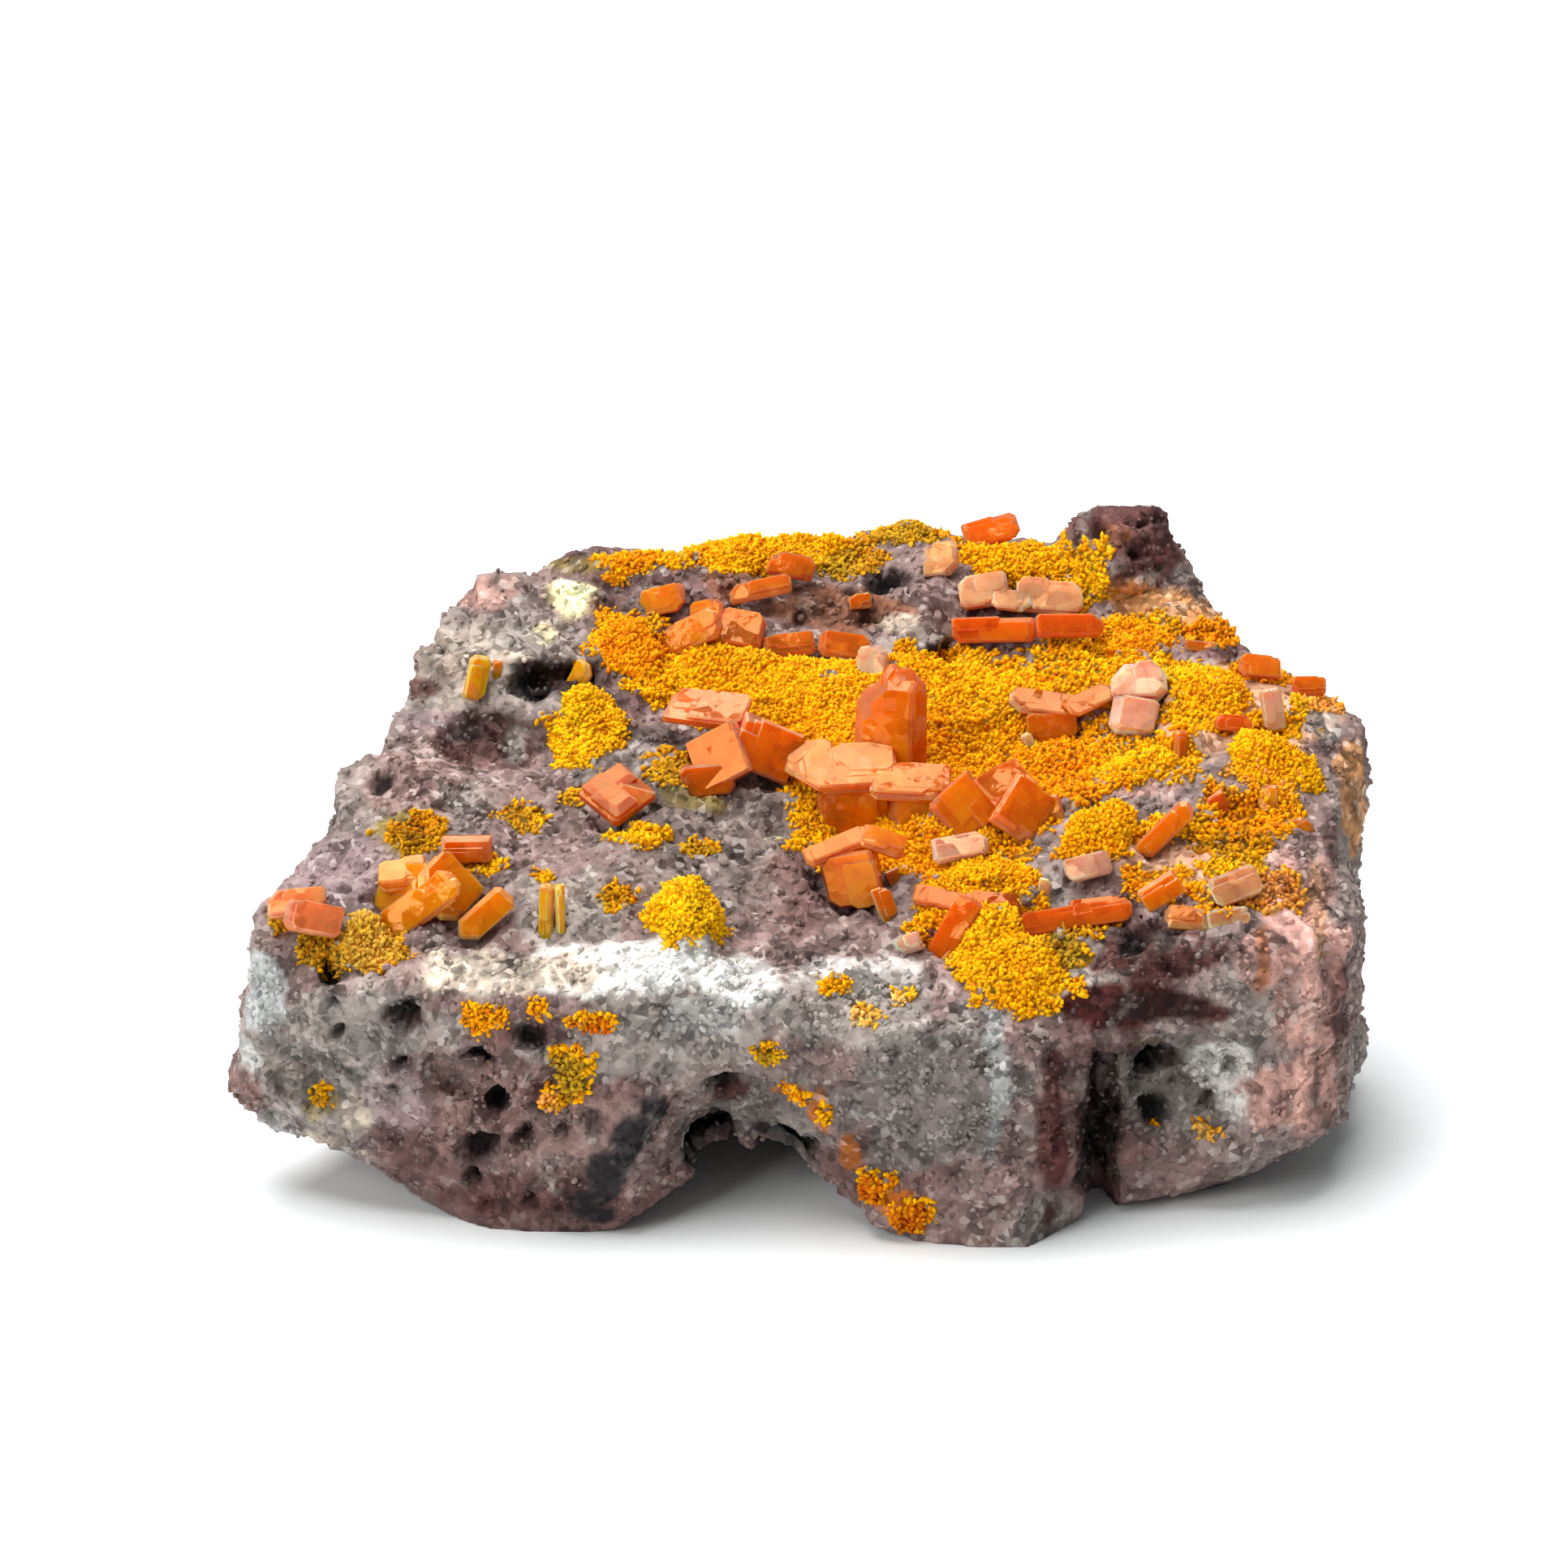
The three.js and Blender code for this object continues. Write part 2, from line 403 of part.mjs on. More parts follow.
// The wulfenite crystals, one grown-together group to a line of the list or more. size is width, height and
// thickness; lift is the height of the middle over the rock
const CRYSTALS = {
  wulfenite_centre: [
    { at: [5, -0.8], lift: 3.2, size: [3.6, 5.2, 1.9], face: [-25, 5], spin: 3, cut: 0.5 },
    { at: [2.5, -3], lift: 1.8, size: [5.2, 4.2, 2.2], face: [0, 80], spin: 12, cut: 0.6 },
    { at: [6.3, -4.1], lift: 1.8, size: [4.2, 3.2, 2.2], face: [10, 78], spin: -8 },
    { at: [8.6, -5.3], lift: 1.5, size: [2.6, 2.6, 1.3], face: [12, 28], spin: 38 },
    { at: [11.4, -5.6], lift: 1.6, size: [3, 3, 1.5], face: [32, 25], spin: 42 },
  ],
  wulfenite_front_block: [
    { at: [2.9, -8.4], lift: 1.7, size: [3.8, 3.6, 2], face: [-8, 18], spin: 35, cut: 0.4 },
  ],
  wulfenite_brown_group: [
    { at: [-4.5, 0.4], lift: 2.1, size: [3.8, 2.6, 0.9], face: [-12, 74], spin: -5 },
    { at: [-4.2, -1.6], lift: 0.9, size: [2.8, 2.8, 1.6], face: [-20, 25], spin: 30 },
    { at: [-1.7, -1], lift: 1.3, size: [2.9, 2.6, 1.7], face: [15, 25], spin: -28 },
  ],
  wulfenite_bipyramid: [{ at: [-9.2, -4.3], lift: 0.9, size: [2.7, 2.7, 1.7], face: [-4, 62], spin: 45 }],
  wulfenite_tablet: [{ at: [-16.8, -8.1], lift: 0.5, size: [2.6, 1.5, 0.7], face: [0, 8] }],
  wulfenite_rosette: [
    { at: [-19.8, -9.9], lift: 1, size: [3, 2.8, 0.8], face: [-35, 30], spin: 10 },
    { at: [-18.7, -11], lift: 1.1, size: [4.6, 2, 1.1], face: [-20, 20], spin: 42, cut: 0.4 },
    { at: [-17.6, -10.4], lift: 1, size: [2.8, 3.2, 0.9], face: [30, 25], spin: 32 },
  ],
  wulfenite_leaf: [
    { at: [-15.6, -11.7], lift: 0.6, size: [3.2, 1.5, 0.8], face: [-5, 15], spin: 45, cut: 0.4 },
  ],
  wulfenite_left_pair: [
    { at: [-25.2, -10.8], lift: 0.8, size: [2.8, 1.7, 0.7], face: [-10, 45], spin: 18 },
    { at: [-24.1, -12], lift: 0.8, size: [2.7, 1.8, 0.8], face: [5, 40], spin: -15 },
  ],
  wulfenite_yellow_blade: [
    { at: [-12.5, -11.8], lift: 0.8, size: [1.2, 2.9, 0.7], face: [-10, 8], spin: 4 },
  ],
  wulfenite_recess_blade: [
    { at: [-11.4, 4], lift: 0.7, size: [1.2, 2.2, 0.6], face: [-40, 12], spin: -25 },
  ],
  wulfenite_knob_blade: [{ at: [-16.7, 2.8], lift: 0.8, size: [1.3, 2.3, 0.6], face: [25, 12], spin: -18 }],
  wulfenite_ridge_left: [
    { at: [-5.4, 6.9], lift: 1, size: [3.8, 1.8, 0.8], face: [-30, 25], spin: 33 },
    { at: [-3.2, 7.5], lift: 1.1, size: [3.2, 2.3, 0.9], face: [10, 55], spin: -15 },
  ],
  wulfenite_ridge_middle: [{ at: [0.3, 7.2], lift: 0.7, size: [2.8, 1.4, 0.7], face: [5, 48], spin: 5 }],
  wulfenite_ridge_right: [{ at: [3.4, 7.3], lift: 0.7, size: [2.8, 1.6, 0.8], face: [0, 42], spin: -8 }],
  wulfenite_bowl_back: [{ at: [4.4, 5.2], lift: 1.2, size: [1.6, 1.8, 0.9], face: [-10, 30], spin: 20 }],
  wulfenite_skyline_left: [
    { at: [-6.9, 8.6], lift: 0.7, size: [2.4, 1.6, 0.7], face: [-20, 35], spin: 20 },
  ],
  wulfenite_back_lump: [{ at: [-0.3, 11.7], lift: 0.8, size: [2.5, 1.4, 0.9], face: [0, 35], spin: -12 }],
  wulfenite_back_blade: [{ at: [-2, 9.7], lift: 0.6, size: [3.2, 1.2, 0.6], face: [-5, 40], spin: 15 }],
  wulfenite_back_block: [{ at: [7.8, 11.5], lift: 0.8, size: [1.9, 1.9, 1], face: [-20, 30], spin: 15 }],
  wulfenite_skyline: [{ at: [10.8, 13.8], lift: 0.6, size: [3.2, 1.7, 0.8], face: [-15, 35], spin: 25 }],
  wulfenite_pink_left: [{ at: [10.1, 9.8], lift: 0.6, size: [2.6, 2.2, 0.8], face: [0, 55], spin: 10 }],
  wulfenite_pink_right: [{ at: [13.8, 9.9], lift: 0.6, size: [3.6, 2.2, 0.8], face: [10, 50], spin: -8 }],
  wulfenite_long_back: [{ at: [10.4, 7.5], lift: 0.7, size: [4.4, 1.6, 0.9], face: [-5, 32], spin: 3 }],
  wulfenite_short_back: [{ at: [14.7, 7.5], lift: 0.7, size: [3.6, 1.4, 0.9], face: [8, 35], spin: -2 }],
  wulfenite_boat: [
    { at: [13.8, 2.5], lift: 1.8, size: [4.8, 2.3, 0.7], face: [8, 72], spin: 12, cut: 0.6 },
    { at: [13.6, 2.3], lift: 0.8, size: [2.4, 1.8, 1], face: [0, 12] },
  ],
  wulfenite_frosted: [
    { at: [18, 3], lift: 1, size: [2.8, 2.2, 1.7], face: [-10, 40], spin: 8 },
    { at: [17.4, 1.6], lift: 0.9, size: [2.1, 2.1, 1.6], face: [5, 30], spin: -12 },
  ],
  wulfenite_shoulder_flake: [{ at: [21.8, -0.2], lift: 0.6, size: [1.9, 1, 0.6], face: [0, 40], spin: -5 }],
  wulfenite_shoulder_blade: [
    { at: [24.8, 0.9], lift: 0.8, size: [1.4, 2.3, 0.6], face: [20, 18], spin: 5 },
  ],
  wulfenite_rim_right: [{ at: [27, 4.2], lift: 0.4, size: [1.8, 1.1, 0.7], face: [0, 40] }],
  wulfenite_rim_back: [{ at: [24.4, 5.8], lift: 0.5, size: [2.3, 1.3, 0.7], face: [10, 40], spin: -10 }],
  wulfenite_diagonal: [{ at: [18.8, -6.9], lift: 0.9, size: [3.4, 1.1, 0.7], face: [-10, 20], spin: 48 }],
  wulfenite_lip_flake: [{ at: [14.6, -8.9], lift: 0.5, size: [2.4, 1.4, 0.6], face: [0, 45], spin: 15 }],
  wulfenite_arrow: [
    { at: [7.4, -9.9], lift: 1.1, size: [2.8, 1.3, 0.6], face: [-10, 60], spin: -8 },
    { at: [9.8, -10], lift: 1.2, size: [3, 1.3, 0.6], face: [10, 60], spin: -12 },
    { at: [8, -11.4], lift: 1.2, size: [1.5, 4, 1], face: [-15, 22], spin: -22 },
  ],
  wulfenite_long_front: [{ at: [14, -11], lift: 0.8, size: [5.6, 1.6, 0.9], face: [0, 25], spin: 8 }],
  wulfenite_front_chip: [{ at: [18.4, -10.9], lift: 0.6, size: [2.2, 1.5, 0.7], face: [5, 20], spin: 30 }],
  wulfenite_right_plate: [{ at: [22.2, -10.4], lift: 0.5, size: [2.6, 1.7, 0.7], face: [0, 40], spin: 22 }],
  wulfenite_peach: [{ at: [7.6, -7.3], lift: 0.9, size: [2.8, 1.3, 0.8], face: [0, 45], spin: 10 }],
};

// Each piece is cut clear of what it grows on: crystals out of crusts and rock, crusts out of the rock
const cutAll = (solid, tools) => tools.reduce((left, tool) => left.subtract(tool), solid);
const joined = (solids) => solids.reduce((sum, solid) => sum.add(solid));

const crystalPockets = Object.values(CRYSTALS).flat().map((crystal) => solidOf(platePocket(crystal)));
const crustPockets = Object.values(CRUSTS).flat().map((patch) => solidOf(crust(patch, true)));
const tonguePockets = CRUSTS.mimetite_tongue.map((patch) => solidOf(crust(patch, true)));
rock = cutAll(rock, [...crustPockets, ...crystalPockets]);

const specimen = new THREE.Group();
const STONE = new THREE.MeshStandardMaterial({ color: 0x9a8287, roughness: 0.85, metalness: 0 });
const MIMETITE = new THREE.MeshStandardMaterial({ color: 0xf0a810, roughness: 0.6, metalness: 0 });
const WULFENITE = new THREE.MeshStandardMaterial({ color: 0xec6a1e, roughness: 0.2, metalness: 0 });
const FROSTED = new THREE.MeshStandardMaterial({ color: 0xe2a08c, roughness: 0.5, metalness: 0 });

function addPiece(name, solid, material) {
  const mesh = new THREE.Mesh(largestPiece(geometryOf(solid)), material);
  mesh.name = name;
  specimen.add(mesh);
}

addPiece("matrix_rock", rock, STONE);
for (const [name, patches] of Object.entries(CRUSTS)) {
  const neighbours = name === "mimetite_bowl" ? tonguePockets : [];
  const whole = joined(patches.map((patch) => solidOf(crust(patch))));
  addPiece(name, cutAll(whole, [...neighbours, ...crystalPockets]), MIMETITE);
}
for (const [name, crystals] of Object.entries(CRYSTALS)) {
  const frosty = name === "wulfenite_frosted" || name.startsWith("wulfenite_pink");
  addPiece(name, joined(crystals.map((crystal) => solidOf(plate(crystal)))), frosty ? FROSTED : WULFENITE);
}

// The origin is under the middle of the specimen
const extent = new THREE.Box3().setFromObject(specimen);
const middle = extent.getCenter(new THREE.Vector3());
specimen.position.set(-middle.x, -middle.y, 0);

export default specimen;
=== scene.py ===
# A wulfenite specimen, dressed over its fixed frame: broken mauve rock with white quartz, a granular crust
# of yellow mimetite in its hollows, and clear orange tablets of wulfenite that stand in the crust.
from math import cos, pi, radians, sin

import bpy
import numpy as np
from mathutils.bvhtree import BVHTree
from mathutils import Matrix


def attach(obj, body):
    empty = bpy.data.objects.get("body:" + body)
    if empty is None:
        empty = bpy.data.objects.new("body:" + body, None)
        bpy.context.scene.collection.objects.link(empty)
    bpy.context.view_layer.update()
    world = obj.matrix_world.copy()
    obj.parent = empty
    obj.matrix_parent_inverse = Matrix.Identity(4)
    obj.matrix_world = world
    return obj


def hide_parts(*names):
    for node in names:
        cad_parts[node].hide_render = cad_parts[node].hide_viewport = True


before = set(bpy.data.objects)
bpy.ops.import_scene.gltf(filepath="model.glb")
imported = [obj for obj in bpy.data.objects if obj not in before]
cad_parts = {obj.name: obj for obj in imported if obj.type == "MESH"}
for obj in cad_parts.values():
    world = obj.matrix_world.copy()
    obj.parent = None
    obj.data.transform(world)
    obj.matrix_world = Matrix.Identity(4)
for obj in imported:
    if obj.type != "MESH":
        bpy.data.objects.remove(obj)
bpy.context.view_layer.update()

MM = 0.001

# The camera: the specimen is seen from the front and 22 degrees above, by a long lens a quarter of a metre
# away, with the whole stone in the middle of a square picture. Places on the stone are named below by the
# pixel where this camera sees them.
PICTURE = 1932  # pixels each way
FOCAL = 6132  # pixels
SENSOR = 36
AIM = np.array([-1.21, 0.186, 18]) * MM
AWAY = 260 * MM
TILT = radians(22)
ahead = np.array([0, cos(TILT), -sin(TILT)])
upward = np.array([0, sin(TILT), cos(TILT)])
rightward = np.array([1.0, 0, 0])
eye = AIM - AWAY * ahead

camera = bpy.data.objects.new("camera", bpy.data.cameras.new("camera"))
camera.data.sensor_width = SENSOR
camera.data.lens = SENSOR * FOCAL / PICTURE
camera.data.clip_start = 10 * MM
camera.location = eye
camera.rotation_euler = (pi / 2 - TILT, 0, 0)
bpy.context.scene.collection.objects.link(camera)
bpy.context.scene.camera = camera


def linear(code):
    """A colour from its six hex digits: each share of 255 is put to the power 2.2."""
    return np.array([(int(code[i:i + 2], 16) / 255) ** 2.2 for i in (0, 2, 4)])


def palette(**codes):
    """Named colours."""
    return {name: linear(code) for name, code in codes.items()}


# The matrix: one broken piece of fine-grained volcanic rock, soaked with quartz. The solid's own facets
# are skinned at a third of a millimetre and roughened as such rock breaks, in splinters over a sugary
# grain.
SKIN = 0.335 * MM
# Deep, near black, is no colour of the rock: it paints shade in hollows, holes and crevices
COLOURS = palette(
    rock="8c736e", slate="7c6c66", mauve="8e6f69", plum="5f3b38", deep="2a1514", quartz="f4efe8",
    grey="a1978f", stone="786f6a", rose="c6968a", cream="f6e0ac", tan="dc9a60", rust="bb6412",
    brown="7c4a2e", blood="4c1e1b", olive="8a7428", peach="e0a57c", lilac="968080", ash="9a8f88",
    bone="d2c0ac", fog="b9bab8", coal="2c2628")

# What the rock is made of, place by place, and the shade that is painted on it: the zones in deep, near
# black, are painted shade in holes, cavities, crevices and the slit, beside the brown crystals, under the
# lip and the alcove, and in the cave of the arch. Each zone gives the colour, the pixel where its middle
# is seen, its half width and half height in pixels, how strong it is and, where it breaks in its own way,
# how: in a druse of quartz, in banded or ledged layers, in upright flutes, in pits, or polished sleek where
# the rock once slid
ZONES = {
    "grey slope": ("slate", 880, 1030, 160, 110, 0.9, "ledged"),
    "dark of the slope": ("plum", 985, 1075, 46, 60, 0.6),
    "slope under the recess": ("stone", 790, 935, 90, 60, 0.7),
    "dark by the brown crystals": ("deep", 800, 905, 50, 14, 0.5),
    "left shelf": ("lilac", 440, 1075, 130, 56, 0.9),
    "shelf between the crystals": ("grey", 700, 1120, 90, 60, 0.7),
    "shelf under the ledge": ("mauve", 500, 965, 80, 45, 0.8, "ledged"),
    "grey flake of the shelf": ("grey", 575, 985, 40, 18, 0.7),
    "recess": ("plum", 590, 915, 80, 44, 0.75, "ledged"),
    "pale splinter in the recess": ("grey", 636, 912, 17, 28, 1),
    "left knob": ("bone", 560, 820, 80, 70, 0.4, "banded"),
    "edge of the left knob": ("plum", 520, 850, 34, 18, 0.9),
    "foot of the left knob": ("lilac", 530, 885, 44, 14, 0.8),
    "top of the left knob": ("rose", 600, 726, 60, 24, 0.8, "banded"),
    "pale cap": ("cream", 704, 738, 36, 36, 0.9, "banded"),
    "pale vein under the cap": ("cream", 668, 778, 22, 26, 0.8),
    "foot of the vein": ("bone", 640, 806, 18, 22, 0.8),
    "grey side of the cap": ("grey", 640, 790, 34, 24, 0.8),
    "dark beside the cap": ("plum", 752, 742, 26, 24, 0.8),
    "cavity under the knob": ("deep", 682, 832, 64, 24, 0.95),
    "cavity beside it": ("deep", 706, 848, 22, 20, 0.8),
    "behind the ridge": ("brown", 900, 720, 50, 22, 0.7),
    "hollow behind the bowl": ("brown", 1035, 752, 90, 36, 0.85, "pitted"),
    "dark of that hollow": ("deep", 1090, 712, 36, 16, 0.9),
    "quartz block": ("bone", 1105, 768, 30, 14, 0.8),
    "quartz over the bowl": ("grey", 930, 806, 50, 9, 0.9),
    "hole behind the bowl": ("deep", 1165, 802, 30, 14, 0.95),
    "grey rock of the skyline": ("olive", 1100, 640, 30, 12, 0.8),
    "right knob": ("plum", 1400, 665, 100, 60, 1, "pitted"),
    "tan foot of the right knob": ("tan", 1415, 748, 66, 32, 0.95),
    "brown side of the knob": ("brown", 1375, 660, 26, 20, 0.6),
    "back of the shoulder": ("tan", 1480, 760, 60, 30, 0.7),
    "right shoulder": ("peach", 1540, 870, 130, 66, 0.8),
    "grey top of the shoulder": ("grey", 1625, 880, 40, 40, 0.8),
    "dark bands of the shoulder": ("plum", 1500, 800, 40, 10, 0.8),
    "right edge": ("tan", 1668, 985, 26, 80, 0.8, "fluted"),
    "shoulder middle": ("rose", 1400, 965, 60, 26, 0.8),
    "grey of the shoulder": ("grey", 1340, 1000, 30, 30, 0.6),
    "shoulder in front": ("peach", 1470, 1060, 100, 40, 0.7),
    "front lip": ("plum", 1440, 1175, 110, 40, 1, "pitted"),
    "dark of the lip": ("deep", 1400, 1152, 50, 18, 0.8),
    "end of the lip": ("rose", 1560, 1180, 36, 50, 0.7),
    # Under the lip: reddish rock painted dark as shade, and painted shade in deep below it
    "under the lip": ("blood", 1400, 1240, 120, 30, 1),
    "dark under the lip": ("deep", 1425, 1242, 84, 18, 0.8),
    "pale rim of the alcove": ("cream", 1424, 1284, 34, 8, 0.6),
    "alcove": ("stone", 1450, 1330, 100, 70, 0.8, "pitted"),
    "quartz in the alcove": ("quartz", 1500, 1310, 50, 36, 0.6, "druse"),
    "more quartz in it": ("quartz", 1540, 1350, 40, 40, 0.55),
    "dark of the alcove": ("deep", 1415, 1300, 44, 30, 0.8),
    "dark under the alcove": ("deep", 1360, 1390, 34, 60, 0.8),
    "right wall": ("rose", 1610, 1190, 56, 170, 0.95, "fluted"),
    "foot of the right wall": ("rose", 1600, 1345, 70, 60, 0.9, "fluted"),
    "red in the right wall": ("blood", 1650, 1250, 12, 70, 0.7),
    "red over it": ("blood", 1640, 1030, 10, 60, 0.6),
    "rust on the right wall": ("rust", 1556, 1180, 8, 50, 0.6),
    "pale streak in the right wall": ("peach", 1625, 1120, 10, 90, 0.7),
    "quartz ridge": ("quartz", 790, 1192, 150, 40, 1, "druse"),
    "end of the ridge": ("quartz", 915, 1215, 60, 40, 0.9, "druse"),
    "top of the buttress": ("quartz", 1060, 1200, 90, 24, 0.6),
    "under the ridge": ("ash", 800, 1280, 150, 60, 0.9),
    "bluish quartz": ("fog", 870, 1250, 50, 30, 0.5, "druse"),
    "left end": ("ash", 395, 1320, 120, 100, 0.9, "ledged"),
    "grey of the left front": ("ash", 470, 1260, 110, 46, 0.8),
    "mauve over the pits": ("lilac", 500, 1360, 60, 50, 0.7),
    "quartz at the left": ("fog", 326, 1222, 34, 60, 0.95, "druse"),
    "quartz of the tip": ("fog", 300, 1300, 20, 30, 0.7),
    "quartz under it": ("fog", 332, 1385, 30, 20, 0.5),
    "quartz by the hole": ("bone", 450, 1180, 46, 18, 0.6),
    "quartz left of the middle": ("bone", 625, 1200, 125, 32, 0.95, "ledged"),
    "left tip": ("mauve", 300, 1352, 26, 44, 0.9), "rim of the vug": ("bone", 440, 1372, 20, 28, 0.8),
    "foot of its rim": ("bone", 400, 1404, 34, 10, 0.7), "vug": ("olive", 396, 1362, 26, 20, 0.6),
    "pits": ("mauve", 640, 1370, 120, 70, 0.9, "pitted"),
    "dark seam at the left": ("blood", 495, 1255, 34, 16, 0.9),
    "hole at the left": ("brown", 408, 1192, 14, 12, 1),
    "dark under the orange lumps": ("plum", 655, 1275, 50, 14, 0.8),
    "left foot": ("plum", 640, 1470, 130, 34, 0.75, "pitted"),
    "slit beside the buttress": ("deep", 1340, 1350, 16, 120, 1),
    "slickenside, top": ("coal", 808, 1366, 24, 28, 1, "sleek"),
    "slickenside": ("coal", 778, 1404, 30, 34, 1, "sleek"),
    "slickenside, middle": ("coal", 750, 1446, 34, 38, 1, "sleek"),
    "slickenside, foot": ("coal", 732, 1490, 30, 30, 1, "sleek"),
    "beside the slickenside": ("stone", 856, 1400, 30, 50, 0.8),
    "wall of the arch": ("stone", 960, 1365, 120, 50, 0.9),
    # Painted shadow in the cave under the arch, where the rock's underside and the floor lie in shade
    "cave of the arch": ("deep", 900, 1424, 110, 34, 1),
    "right side of the cave": ("deep", 990, 1440, 60, 30, 0.9),
    "top of the arch": ("blood", 900, 1345, 26, 18, 0.85),
    "buttress": ("stone", 1150, 1350, 120, 120, 0.9, "druse"),
    "edge of the buttress": ("fog", 1232, 1330, 16, 110, 0.7),
    "shoulder of the buttress": ("grey", 1060, 1240, 110, 50, 0.8, "druse"),
    # The side of the buttress is reddish purple, painted darker as shade
    "side of the buttress": ("blood", 1296, 1400, 20, 130, 0.85, "fluted"),
    "crevice": ("deep", 1330, 1400, 12, 80, 0.9), "rust streak": ("rust", 1010, 1370, 14, 34, 0.8),
    "rust streak, middle": ("rust", 1046, 1425, 16, 30, 0.8),
    "rust streak, foot": ("rust", 1105, 1480, 28, 24, 0.9),
    "rust in the arch": ("rust", 965, 1345, 30, 9, 0.7),
    "stain beside the ball": ("olive", 760, 1103, 30, 18, 0.7),
    "stain under the brown crystals": ("olive", 850, 975, 60, 30, 0.7),
    "stain on the ledge": ("olive", 505, 1025, 44, 30, 0.8),
    "stain by the left crystals": ("brown", 352, 1130, 16, 30, 0.8),
    "stain of the tongue": ("olive", 1310, 1180, 34, 26, 0.7),
    "stain on the skyline": ("olive", 720, 696, 60, 14, 0.7),
}

# Holes that the photograph shows in the rock: the pixel, the half width in pixels and the depth in mm
HOLES = {
    "brown hole": (408, 1196, 20, 1.2), "seam hole": (495, 1255, 32, 1.4),
    "left crack": (410, 1236, 13, 1), "left crack, foot": (414, 1274, 14, 1), "pit": (582, 1311, 26, 1.6),
    "left pit": (490, 1318, 18, 1.1), "second pit": (612, 1352, 20, 1.2),
    "third pit": (660, 1372, 18, 1.2), "fourth pit": (588, 1420, 26, 1.7),
    "long pit": (640, 1404, 18, 1.2), "low pit": (582, 1450, 16, 1.1),
    "under the orange lumps": (655, 1278, 24, 0.9), "back hollow": (1090, 712, 26, 1.2),
    "bowl's hole": (1165, 802, 26, 1.2), "knob's cavity": (655, 838, 32, 1.3),
    "small cavity": (712, 836, 16, 1), "slope's crack": (1010, 1085, 24, 1),
    "alcove's hole": (1415, 1310, 24, 1.2), "rubble hole": (1425, 1365, 22, 1.4),
    "lip's crack": (1395, 1160, 24, 0.8), "behind the lip": (1500, 985, 18, 0.9),
    "arch's nook": (888, 1342, 26, 1.3), "arch's cave": (880, 1412, 44, 1.8),
    "cave's right side": (965, 1420, 50, 1.8), "under the ledge": (470, 960, 22, 0.8),
    "shoulder's cut": (1345, 985, 18, 0.8),
}


